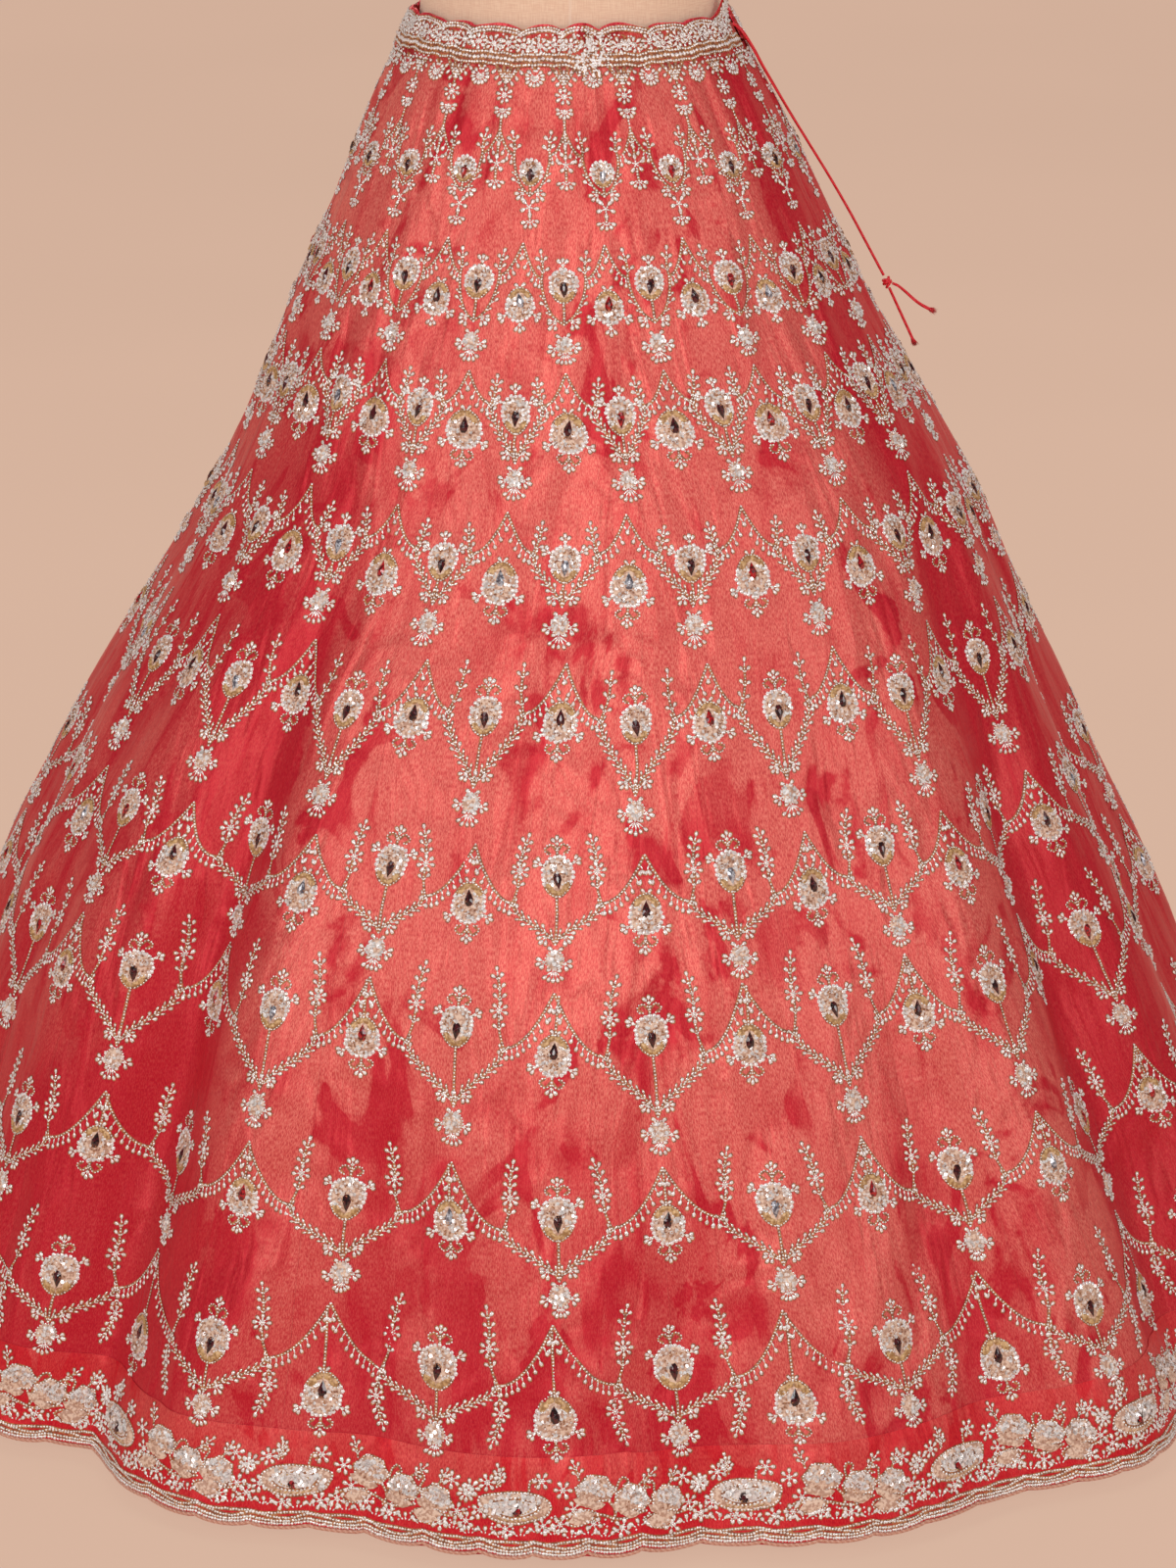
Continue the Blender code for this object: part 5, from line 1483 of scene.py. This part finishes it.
# the bunched place at the front: loops drawn together
for n in range(54):
    P = Spot(BELTWORK, 6.3 + RNG.normal(0, 2.6), RNG.uniform(4.0, 38.0))
    if n % 2:
        petals(P, 0.0, 0.0, RNG.normal(0, 0.6), 1.0, 4.4, 2.4, 0.1)
    else:
        beads(P, [(-0.6, -3.0), (0.5, 0.0), (-0.3, 4.0)], pitch=2.0, radius=0.7, per=3)
belt_pieces = BELTWORK.build("belt_embroidery")
print("embroidery triangles", NET.count + EDGE.count + BELTWORK.count)

# ------------------------------------------------------------------ the cloth
shell_tris = 0
arc = np.concatenate([[np.zeros(SKIRT_ROWS)],
                      np.cumsum(np.linalg.norm(np.diff(np.vstack([skirt_points, skirt_points[:1]]),
                                                       axis=0), axis=2), 0)])
slope = np.linalg.norm(np.diff(skirt_points, axis=1), axis=2).mean(0)
length_down = np.concatenate([[0.0], np.cumsum(slope)])
A, V = skirt_angles[:, None] + 0 * skirt_v[None, :], skirt_v[None, :] + 0 * skirt_angles[:, None]
fold_mm = 1000.0 * fold(A, V)
crease_mm = creases(A, V)
hollow = hollows(A, V)
side_angle = np.abs(wrap(A))
# painted shade on the left and right sides of the skirt, where the cloth turns away from the front
left = smooth((-wrap(A) - 22.0) / 24.0) * (1.0 - 0.75 * smooth((-wrap(A) - 96.0) / 34.0)) * (wrap(A) < 0)
right = smooth((wrap(A) - 42.0) / 22.0) * (1.0 - 0.85 * smooth((wrap(A) - 100.0) / 34.0)) * (wrap(A) > 0)
# painted shade: deep crimson laid into inward folds, creases and hollows, over both sides and the lower skirt; the
# outward folds are painted a little lighter, as a highlight
deep_tone_and_shade = (0.85 * smooth((-fold_mm - 2.0) / 12.0) + 0.42 * smooth(-crease_mm / 1.6) + 1.0 * hollow
        + 0.82 * left * smooth((V - 0.10) / 0.3) + 1.45 * right
        + 0.52 * smooth((V - 0.66) / 0.16) * smooth((24.0 - wrap(A)) / 24.0)
        + 0.24 * smooth((V - 0.88) / 0.06) - 0.14 * smooth(fold_mm / 8.0))
deep_tone_and_shade = np.clip(deep_tone_and_shade, 0.0, 1.0)
per = SKIRT_COLS // PANELS
kalis = []
for p in range(PANELS):
    idx = (np.arange(per + 1) + p * per) % SKIRT_COLS
    outer = skirt_points[idx].copy()
    normals = SKIRT.n[idx]
    around = np.roll(skirt_points, -1, 0) - np.roll(skirt_points, 1, 0)
    around = (around / np.linalg.norm(around, axis=2, keepdims=True))[idx]
    tuck = np.zeros(per + 1)
    tuck[0], tuck[-1] = 0.00003, -0.00003
    outer += around * tuck[:, None, None]
    sink = np.zeros(per + 1)
    sink[0] = sink[-1] = 0.00005
    outer -= normals * sink[:, None, None]
    inner = outer - normals * 0.0012
    u = arc[p * per:(p + 1) * per + 1]
    u = u - u.mean(0, keepdims=True) + 0.7 * p
    w = np.broadcast_to(length_down[None, :], u.shape)
    from_edge = np.minimum(u - u[:1], u[-1:] - u) * 1000.0
    obj = shell("cloth_kali_%02d" % (p + 1), outer, inner, u, w, SILK,
                tones={"deep_tone_and_shade": deep_tone_and_shade[idx], "seam": from_edge})
    kalis.append(obj)
    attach(obj, "root")
    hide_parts("kali_%02d" % (p + 1))
    long_ = float(length_down[-1])
    shell_tris += 2 * len(obj.data.polygons)

# the border strip, its facing and the rolled cord under its edge
hem_angles = SEAM_AT + np.arange(HEM_COLS) * 360.0 / HEM_COLS


def ring_shell(name, rows, out_from, out_to, mat, drop_mm=0.0, every=1, taper=None):
    ang = hem_angles[::every]
    a2, r2 = np.meshgrid(ang, rows, indexing="ij")
    p, n, t, up = HEM.sample(a2.ravel(), r2.ravel())
    p, n, up = (x.reshape(len(ang), len(rows), 3) for x in (p, n, up))
    shift = np.linspace(0, 1, len(rows))[None, :, None] ** 3 * 0.001 * drop_mm
    p = p - up * shift
    u = np.concatenate([[0], np.cumsum(np.linalg.norm(np.diff(np.vstack([p[:, -1], p[:1, -1]]), axis=0),
                                                      axis=1))])
    u = np.repeat(u[:, None], len(rows), 1)
    w = np.repeat((1.03 + (np.asarray(rows) - rows[0]) * 1.15)[None, :], len(u), 0)
    # deeper red border ground that deepens towards the edge, partly its own red and partly painted shade where it
    # curves under; its inward folds are painted darker as shade
    tones = {"deep_tone_and_shade": np.clip(0.30 * smooth(-1000.0 * fold(a2, 0.97) / 12.0) + 0.56
                             + 0.5 * smooth((r2 - 0.945) / 0.035), 0, 1),
             "seam": np.full((len(ang), len(rows)), 30.0)}
    high = np.ones(len(rows)) if taper is None else np.asarray(taper)
    outer = out_from + (out_to - out_from) * high if taper is not None else np.full(len(rows), out_to)
    return (shell(name, p + n * (outer * 0.001)[None, :, None], p + n * out_from * 0.001, u, w, mat, True, tones),
            float(u[-1, 0]))


border, border_round = ring_shell("cloth_hem_border", [.937, .941, .950, .968, .985, 1.0], 0.35, 1.2, BORDER_SILK,
                                  taper=[0.30, 0.75, 1.0, 1.0, 1.0, 1.0], every=2)
hem_inner, facing_round = ring_shell("cloth_hem_facing", [.937, .955, .975, .990, 1.0], -2.9, -1.9, RED_SATIN,
                                     drop_mm=3.4, every=2)
for obj, node, slot, wide in ((border, "hem_border", "border_silk", 0.073),
                              (hem_inner, "hem_facing", "red_satin", 0.077)):
    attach(obj, "root")
    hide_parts(node)
    shell_tris += 2 * len(obj.data.polygons)


def tube_mesh(name, centre, first, second, radius, sides, mat, closed=False, profile=None):
    """Tube round a line; first and second are unit vectors across it."""
    n = len(centre)
    t = np.arange(sides) * 2 * math.pi / sides
    size = np.full(n, radius) if profile is None else radius * np.asarray(profile)
    verts = (centre[:, None] + size[:, None, None] * (np.cos(t)[None, :, None] * first[:, None]
                                                      + np.sin(t)[None, :, None] * second[:, None]))
    last = n if closed else n - 1
    i, j = np.meshgrid(np.arange(last), np.arange(sides), indexing="ij")
    i, j = i.ravel(), j.ravel()
    i2, j2 = (i + 1) % n, (j + 1) % sides
    faces = np.stack([i * sides + j, i * sides + j2, i2 * sides + j2, i2 * sides + j], 1)
    run = np.concatenate([[0], np.cumsum(np.linalg.norm(np.diff(np.vstack([centre, centre[:1]]), axis=0), axis=1))])
    uv = np.stack([np.stack([run[i], run[i], run[i + 1], run[i + 1]], 1),
                   np.stack([j, j + 1, j + 1, j], 1) * (2 * math.pi * radius / sides)], -1)
    return make_mesh(name, verts.reshape(-1, 3), faces, [mat], uv=uv)


def cord_look(name, color, dark, rough, lay=900.0, **more):
    """Twisted cord: slanting ridges along its length."""
    k = Look(name)
    k.set(**more)
    twist = k.wave(k.coords("UV", (lay, lay * 0.9, 1.0)), scale=0.16, distortion=0.6, direction="DIAGONAL")
    fine = k.noise(k.coords("UV", (2200.0, 900.0, 1.0)), detail=1.0)
    # painted shade: the grooves of the twist, low in the bump, are painted dark
    k.color(k.mix(k.ramp(twist, 0.15, 0.75), dark, k.mix(k.ramp(fine, 0.4, 0.6), dark, color)))
    k.rough(k.math("ADD", k.math("MULTIPLY", fine, 0.15), rough - 0.07))
    k.normal(k.bump(twist, 0.0004, 0.7))
    return k.mat


EDGE_CORD = cord_look("beige_cord", (0.80, 0.50, 0.38), (0.58, 0.24, 0.16), 0.55, sheen=0.2)
p, n, t, up = HEM.sample(hem_angles, np.full(HEM_COLS, 1.0))
edging = tube_mesh("rolled_hem_cord", p - up * 0.0016 + n * 0.0001, n, up, 0.0015, 6, EDGE_CORD, closed=True)
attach(edging, "root")
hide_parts("hem_edging")
shell_tris += 2 * len(edging.data.polygons)


# the belt and its facing
def belt_shell(name, top_of, bottom_mm, offsets, mat, rows=9, columns=470):
    ang = SLIT_TO + np.linspace(0.0, 360.0 - (SLIT_TO - SLIT_FROM), columns)
    share = np.linspace(0, 1, rows)
    top = top_of(ang)
    a2 = np.repeat(ang[:, None], rows, 1)
    r2 = top[:, None] + (bottom_mm - top[:, None]) * share[None, :]
    p, n, t, up = BELT.sample(a2.ravel(), r2.ravel())
    p, n = p.reshape(columns, rows, 3), n.reshape(columns, rows, 3)
    out_to, out_from = offsets
    taper = np.ones(rows) if bottom_mm < 30 else 1.0 - 0.55 * smooth((share - 0.86) / 0.14)
    outer = p + n * (0.001 * (out_from + (out_to - out_from) * taper))[None, :, None]
    inner = p + n * (0.001 * out_from)
    u = np.repeat(np.concatenate([[0], np.cumsum(np.linalg.norm(np.diff(p[:, 3], axis=0), axis=1))])[:, None],
                  rows, 1)
    w = 1.3 + r2 * 0.001
    # painted shade: the silk is painted deep where the bunched place at the front is drawn in
    tones = {"deep_tone_and_shade": np.clip(0.10 + 0.9 * smooth(-belt_pinch(a2) / 1.6), 0, 1),
             "seam": np.full((columns, rows), 30.0)}
    return shell(name, outer, inner, u, w, mat, False, tones), float(u[-1, 0])


def facing_top(angle):
    a = np.radians(angle)
    return (0.86 * (belt_top(angle) + 12.0 * belt_corner(angle)) - 1.7 - 0.5 * np.sin(26 * a)
            - 0.4 * np.sin(9 * a) - 8.5 * belt_corner(angle))


belt, belt_round = belt_shell("cloth_belt", belt_top, 31.2, (2.05, 0.5), SHADED_BELT_SILK)
facing, facing_long = belt_shell("cloth_belt_facing", facing_top, 23.5, (0.25, -0.9), RED_SATIN, rows=6,
                                 columns=236)
for obj, node, slot, wide in ((belt, "waistband", "belt_silk", 0.044),
                              (facing, "waistband_facing", "red_satin", 0.030)):
    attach(obj, "root")
    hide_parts(node)
    shell_tris += 2 * len(obj.data.polygons)
for obj in net_pieces + edge_pieces + belt_pieces:
    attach(obj, "root")

# ------------------------------------------------------------------ drawstring
CORD_RADIUS = 0.0011
CORD_ROUTE = [
    (80.6, 0.0085, -0.0005), (80.9, 0.0105, 0.0016), (81.6, 0.0160, 0.0034), (83.0, 0.0290, 0.0042),
    (85.5, 0.0430, 0.0036), (88.5, 0.0620, 0.0040), (91.0, 0.0830, 0.0052), (92.5, 0.1060, 0.0074),
    (93.2, 0.1320, 0.0102), (93.4, 0.1600, 0.0128), (93.4, 0.1860, 0.0142), (93.2, 0.2100, 0.0150),
]
KNOT_SIZE = (0.0036, 0.0036, 0.0052)
TAIL_A = [(0.0043, 0.0000, 0.0012), (0.0090, 0.0010, 0.0035), (0.0150, 0.0020, 0.0085),
          (0.0215, 0.0028, 0.0145), (0.0275, 0.0030, 0.0190), (0.0340, 0.0030, 0.0225)]
TAIL_B = [(0.0020, 0.0030, 0.0055), (0.0050, 0.0040, 0.0120), (0.0090, 0.0045, 0.0205),
          (0.0135, 0.0046, 0.0300), (0.0180, 0.0046, 0.0395), (0.0215, 0.0046, 0.0470)]


def plain_surface(angle, v):
    """The skirt with its large folds only, as the solid parts have it."""
    half, ratio, a = table(RINGS, 2, v), depth_ratio(v), np.radians(angle)
    out = np.stack([np.sin(a) * ratio, -np.cos(a), np.zeros_like(a)], -1)
    out /= np.linalg.norm(out, axis=-1, keepdims=True)
    spot = np.stack([table(RINGS, 1, v) + half * np.sin(a), -ratio * half * np.cos(a),
                     WAIST_Z - SKIRT_DROP * v], -1)
    return spot + out * fold(angle, v)[..., None]


def off_cloth(rows, sideways=0.0):
    a, v, d = np.array(rows, float).T
    around = plain_surface(a + 0.4, v) - plain_surface(a - 0.4, v)
    down = plain_surface(a, np.maximum(v + 0.004, 0.004)) - plain_surface(a, np.maximum(v - 0.004, 0.0))
    normal = np.cross(down, around)
    normal /= np.linalg.norm(normal, axis=1, keepdims=True)
    around /= np.linalg.norm(around, axis=1, keepdims=True)
    return plain_surface(a, v) + normal * d[:, None] + around * sideways


def resample(points, count):
    p = np.asarray(points, float)
    q = np.vstack([p[0], p, p[-1]])
    t = (np.arange(24) / 24.0)[:, None]
    fine = []
    for k in range(len(p) - 1):
        a, b, c, d = q[k], q[k + 1], q[k + 2], q[k + 3]
        fine.append(0.5 * (2 * b + (c - a) * t + (2 * a - 5 * b + 4 * c - d) * t ** 2
                           + (3 * b - a - 3 * c + d) * t ** 3))
    fine = np.vstack(fine + [p[-1:]])
    run = np.concatenate([[0], np.cumsum(np.linalg.norm(np.diff(fine, axis=0), axis=1))])
    at = np.linspace(0, run[-1], count)
    return np.stack([np.interp(at, run, fine[:, k]) for k in range(3)], 1), float(run[-1])


def cord_curve(name, points, radius, taper=None):
    curve = bpy.data.curves.new(name, "CURVE")
    curve.dimensions = "3D"
    curve.bevel_depth = radius
    curve.bevel_resolution = 3
    curve.use_fill_caps = True
    line = curve.splines.new("POLY")
    line.points.add(len(points) - 1)
    for k, q in enumerate(points):
        line.points[k].co = (*q, 1.0)
        if taper is not None:
            line.points[k].radius = float(taper[k])
    obj = bpy.data.objects.new(name, curve)
    bpy.context.scene.collection.objects.link(obj)
    curve.materials.append(RED_CORD)
    return obj


def satin_cord_look():
    k = Look("red_cord_satin")
    k.set(sheen=0.25, sheen_tint=(1.0, 0.45, 0.40))
    fine = k.noise(k.coords("OBJECT", (1800.0, 1800.0, 500.0)), detail=1.0)
    band = k.wave(k.coords("OBJECT", (1.0, 1.0, 1.0)), scale=190.0, distortion=1.0, direction="DIAGONAL")
    # painted shade: the grooves between the slanting bands, low in the bump, are painted darker red
    k.color(k.mix(k.ramp(band, 0.2, 0.8), (0.60, 0.005, 0.014), (0.90, 0.016, 0.036)))
    k.rough(k.math("ADD", k.math("MULTIPLY", fine, 0.15), 0.34))
    k.normal(k.bump(band, 0.0003, 0.6))
    return k.mat


RED_CORD = satin_cord_look()
route = off_cloth(CORD_ROUTE)
cords = []
for name, side in (("a", -1.0), ("b", 1.0)):
    pts, long_ = resample(off_cloth(CORD_ROUTE, side * (CORD_RADIUS + 0.00022)), 60)
    obj = cord_curve("red_drawstring_" + name, pts, CORD_RADIUS)
    cords.append((obj, pts, long_, "drawstring_" + name))
run_dir = route[-1] - route[-2]
run_dir /= np.linalg.norm(run_dir)
knot_centre = route[-1] + run_dir * (KNOT_SIZE[2] + 0.0012)

# the knot: two turns of cord round its middle
turns = []
side_dir = np.cross(run_dir, [0.0, 1.0, 0.0])
side_dir /= np.linalg.norm(side_dir)
deep_dir = np.cross(run_dir, side_dir)
for k in range(64):
    t = 2 * math.pi * 2.6 * k / 63.0
    along = (-0.0030 + 0.0062 * k / 63.0) + 0.0008 * math.sin(1.3 * t)
    rad = 0.0027 - 0.0004 * math.sin(0.5 * t)
    turns.append(knot_centre + run_dir * along + side_dir * rad * math.cos(t) + deep_dir * rad * math.sin(t))
knot = cord_curve("red_knot", turns, 0.00115)
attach(knot, "root")
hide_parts("drawstring_knot")
for obj, pts, long_, node in cords:
    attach(obj, "root")
    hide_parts(node)
for name, rows, node in (("a", TAIL_A, "drawstring_tail_a"), ("b", TAIL_B, "drawstring_tail_b")):
    pts, long_ = resample([knot_centre + np.array([x, y, -z]) for x, y, z in rows], 30)
    taper = np.linspace(1.0, 1.25 if name == "a" else 1.05, len(pts))
    obj = cord_curve("red_drawstring_tail_" + name, pts, CORD_RADIUS, taper)
    # frayed threads at the cut end
    end, back = pts[-1], pts[-1] - pts[-4]
    back /= np.linalg.norm(back)
    across = np.cross(back, [0.0, 1.0, 0.0])
    across /= np.linalg.norm(across)
    over = np.cross(back, across)
    tv, tf = [], []
    for k in range(110):
        a = RNG.uniform(0, 2 * math.pi)
        spread = RNG.uniform(0.1, 1.0)
        base = end + 0.0008 * (across * math.cos(a) + over * math.sin(a)) * RNG.uniform(0.3, 1.0) - back * 0.001
        tip = end + back * RNG.uniform(0.0035, 0.0072) + 0.0034 * spread * (across * math.cos(a) + 0.6 * over * math.sin(a))
        w = across * 0.00036 + over * 0.00014
        w2 = over * 0.00016
        i = len(tv)
        tv += [base - w, base + w, base + w2, tip]
        tf += [(i, i + 1, i + 3), (i + 1, i + 2, i + 3), (i + 2, i, i + 3), (i, i + 2, i + 1)]
    fray = make_mesh("red_fray_" + name, np.array(tv), np.array(tf), [RED_CORD])
    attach(fray, "root")
    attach(obj, "root")
    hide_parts(node)

# ------------------------------------------------------------------ dress form
FORM_RINGS = [
    (0.800, 0.118, 0.092, 0.000), (0.806, 0.132, 0.104, 0.000), (0.822, 0.145, 0.115, 0.000),
    (0.860, 0.155, 0.122, -0.001), (0.910, 0.156, 0.122, -0.001), (0.960, 0.147, 0.114, -0.001),
    (1.000, 0.132, 0.101, 0.000), (1.030, 0.120, 0.0925, 0.000), (1.060, 0.1165, 0.0900, 0.000),
    (1.085, 0.1160, 0.0900, 0.000), (1.120, 0.119, 0.0935, 0.002), (1.170, 0.128, 0.1010, 0.006),
    (1.220, 0.136, 0.1090, 0.012), (1.265, 0.139, 0.1110, 0.013), (1.310, 0.140, 0.1040, 0.009),
    (1.350, 0.146, 0.0950, 0.003), (1.385, 0.150, 0.0850, -0.002), (1.410, 0.141, 0.0760, -0.005),
    (1.430, 0.112, 0.0680, -0.008), (1.446, 0.076, 0.0600, -0.009), (1.465, 0.056, 0.0520, -0.008),
    (1.500, 0.0495, 0.0490, -0.004), (1.525, 0.0490, 0.0490, -0.002),
]


def linen():
    k = Look("beige_linen")
    k.set(sheen=0.2, sheen_rough=0.6)
    across = k.noise(k.coords("UV", (90.0, 1600.0, 1.0)), detail=2.0)
    down = k.noise(k.coords("UV", (1600.0, 90.0, 1.0)), detail=2.0)
    weave = k.math("ADD", k.math("MULTIPLY", across, 0.5), k.math("MULTIPLY", down, 0.5))
    soft = k.noise(k.coords("OBJECT", (1.0, 1.0, 1.0)), scale=9.0, detail=2.0)
    base = k.mix(k.ramp(weave, 0.42, 0.60), (0.83, 0.55, 0.39), (0.93, 0.68, 0.50))
    base = k.mix(k.ramp(soft, 0.35, 0.70, 0.0, 0.25), base, (0.85, 0.57, 0.42))
    seam = k.ramp(k.attribute("seam"), 0.3, 1.6, 0.30, 0.0)
    k.color(k.mix(seam, base, (0.98, 0.84, 0.72)))
    k.rough(k.math("ADD", k.math("MULTIPLY", weave, 0.2), 0.74))
    k.normal(k.bump(weave, 0.0003, 0.6))
    return k.mat


LINEN = linen()
ring = np.array(FORM_RINGS)
run = np.concatenate([[0], np.cumsum(np.hypot(np.diff(ring[:, 0]), np.diff(ring[:, 1])))])
fine = np.unique(np.concatenate([run, np.linspace(0, run[-1], 56)]))
form = np.stack([table(np.column_stack([run, ring[:, k]]), 1, fine) for k in range(4)], 1)
SIDES = 84
t = np.arange(SIDES) * 2 * math.pi / SIDES
verts = np.stack([form[:, 1, None] * np.sin(t), -form[:, 3, None] - form[:, 2, None] * np.cos(t),
                  form[:, 0, None] + 0 * t], -1)
# upright seams: middle of the front and back, princess lines and sides
seam_angles = np.array([0.0, 42.0, 90.0, 138.0, 180.0, 222.0, 270.0, 318.0])
deg = np.degrees(t)
seam_mm = np.min(np.abs((deg[:, None] - seam_angles[None, :] + 180) % 360 - 180), 1) * 2.1
groove = np.exp(-(seam_mm / 2.2) ** 2)
centre_line = verts.mean(1, keepdims=True)
verts = verts - (verts - centre_line) / np.maximum(np.linalg.norm(verts - centre_line, axis=2, keepdims=True), 1e-6) * (
    0.0005 * groove)[None, :, None]
rows_n = len(form)
i, j = np.meshgrid(np.arange(rows_n - 1), np.arange(SIDES), indexing="ij")
i, j = i.ravel(), j.ravel()
quads = np.stack([i * SIDES + j, i * SIDES + (j + 1) % SIDES, (i + 1) * SIDES + (j + 1) % SIDES,
                  (i + 1) * SIDES + j], 1)
girth = 0.80 / SIDES
uv = np.stack([np.stack([j, j + 1, j + 1, j], 1) * girth,
               np.stack([fine[i], fine[i], fine[i + 1], fine[i + 1]], 1)], -1)
mesh_obj = make_mesh("form_torso_linen", verts.reshape(-1, 3), quads, [LINEN], uv=uv,
                     tones={"seam": np.repeat(seam_mm[None, :], rows_n, 0).ravel(),
                            "deep_tone_and_shade": np.zeros(rows_n * SIDES)})
# close both ends
import bmesh  # noqa: E402

bm = bmesh.new()
bm.from_mesh(mesh_obj.data)
edges = [e for e in bm.edges if e.is_boundary]
bmesh.ops.holes_fill(bm, edges=edges, sides=0)
bm.to_mesh(mesh_obj.data)
bm.free()
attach(mesh_obj, "root")
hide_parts("form_torso")
shell_tris += 2 * len(mesh_obj.data.polygons)
print("cloth and form triangles", shell_tris)


def wood():
    k = Look("neck_wood")
    k.set(coat=0.25, coat_rough=0.25)
    grain = k.noise(k.coords("OBJECT", (260.0, 22.0, 22.0)), detail=3.0, rough=0.6, distortion=0.4)
    rings = k.wave(k.coords("OBJECT", (1.0, 1.0, 1.0)), scale=55.0, distortion=3.0)
    base = k.mix(k.ramp(grain, 0.35, 0.65), (0.22, 0.11, 0.05), (0.42, 0.25, 0.13))
    k.color(k.mix(k.ramp(rings, 0.4, 0.9, 0.0, 0.35), base, (0.17, 0.08, 0.035)))
    k.rough(k.math("ADD", k.math("MULTIPLY", grain, 0.2), 0.36))
    k.normal(k.bump(grain, 0.0003, 0.4))
    return k.mat


def steel():
    k = Look("stand_steel")
    k.set(metal=1.0)
    brushed = k.noise(k.coords("OBJECT", (900.0, 900.0, 14.0)), detail=2.0)
    wear = k.noise(k.coords("OBJECT", (1.0, 1.0, 1.0)), scale=16.0, detail=3.0)
    k.color(k.mix(k.ramp(wear, 0.4, 0.7), (0.60, 0.60, 0.61), (0.48, 0.48, 0.49)))
    k.rough(k.math("ADD", k.math("MULTIPLY", brushed, 0.2), k.math("MULTIPLY", wear, 0.25)))
    k.normal(k.bump(brushed, 0.0002, 0.3))
    return k.mat


WOOD, STEEL = wood(), steel()
for name, mat in (("form_neck_plate", WOOD), ("stand_pole", STEEL), ("stand_base", STEEL)):
    node = bpy.data.objects.get(name)
    if node is not None and node.type == "MESH":
        for k in range(max(1, len(node.data.materials))):
            if k < len(node.data.materials):
                node.data.materials[k] = mat
            else:
                node.data.materials.append(mat)


# ------------------------------------------------------------------ studio
def backdrop():
    k = Look("studio_paper")
    k.set(rough=0.9, spec=0.0)
    fine = k.noise(k.coords("OBJECT", (1.0, 1.0, 1.0)), scale=1.2, detail=1.0)
    k.color(k.mix(k.ramp(fine, 0.3, 0.7), (0.110, 0.073, 0.054), (0.115, 0.076, 0.057)))
    glow = k.mix(k.ramp(fine, 0.3, 0.7), (0.604, 0.410, 0.311), (0.610, 0.414, 0.314))
    k.link(glow, k.bsdf.inputs["Emission Color"])
    k.bsdf.inputs["Emission Strength"].default_value = 1.0
    return k.mat


PAPER = backdrop()
profile = [(-14.0, 0.0), (-3.0, 0.0), (0.0, 0.0), (7.6, 0.0)]
for k in range(1, 13):
    a = math.pi / 2 * k / 12
    profile.append((7.6 + 1.4 * math.sin(a), 1.4 - 1.4 * math.cos(a)))
profile += [(9.0, 4.0), (9.0, 9.0)]
verts, faces = [], []
for y, z in profile:
    verts += [(-14.0, y, z), (14.0, y, z)]
for k in range(len(profile) - 1):
    faces.append((2 * k, 2 * k + 1, 2 * k + 3, 2 * k + 2))
paper = make_mesh("studio_floor", np.array(verts), np.array(faces), [PAPER])


def lamp(name, place, target, size, power, color=(1.0, 1.0, 1.0)):
    data = bpy.data.lights.new(name, "AREA")
    data.shape = "RECTANGLE"
    data.size, data.size_y = size
    data.energy = power
    data.color = color
    obj = bpy.data.objects.new(name, data)
    bpy.context.scene.collection.objects.link(obj)
    obj.location = place
    way = Vector(target) - Vector(place)
    obj.rotation_euler = way.to_track_quat("-Z", "Y").to_euler()
    return obj


lamp("key", (0.1, -5.4, 3.3), (0.0, -0.2, 0.6), (2.2, 1.7), 104.0, (1.0, 0.985, 0.975))
lamp("left", (-3.4, -3.0, 2.4), (0.0, 0.0, 0.6), (1.4, 2.0), 54.0)
lamp("right", (3.6, -2.6, 2.2), (0.0, 0.0, 0.6), (1.2, 2.0), 37.0)
lamp("top", (0.0, -0.4, 4.4), (0.0, 0.0, 0.6), (2.2, 2.2), 28.0)
lamp("back", (0.6, 3.0, 3.2), (0.0, 0.0, 0.8), (2.0, 2.0), 34.0)

world = bpy.data.worlds.new("studio")
bpy.context.scene.world = world
world.use_nodes = True
world.node_tree.nodes["Background"].inputs["Color"].default_value = (0.95, 0.90, 0.86, 1.0)
world.node_tree.nodes["Background"].inputs["Strength"].default_value = 0.16

camera_data = bpy.data.cameras.new("camera")
camera_data.sensor_fit = "VERTICAL"
camera_data.sensor_height = 24.0
camera_data.lens = 66.9
camera = bpy.data.objects.new("camera", camera_data)
bpy.context.scene.collection.objects.link(camera)
camera.location = (0.0134, -3.393, 1.580)
camera.rotation_euler = (math.radians(71.18), 0.0, 0.0)
bpy.context.scene.camera = camera
bpy.context.scene.view_settings.view_transform = "Standard"
bpy.context.scene.view_settings.look = "None"
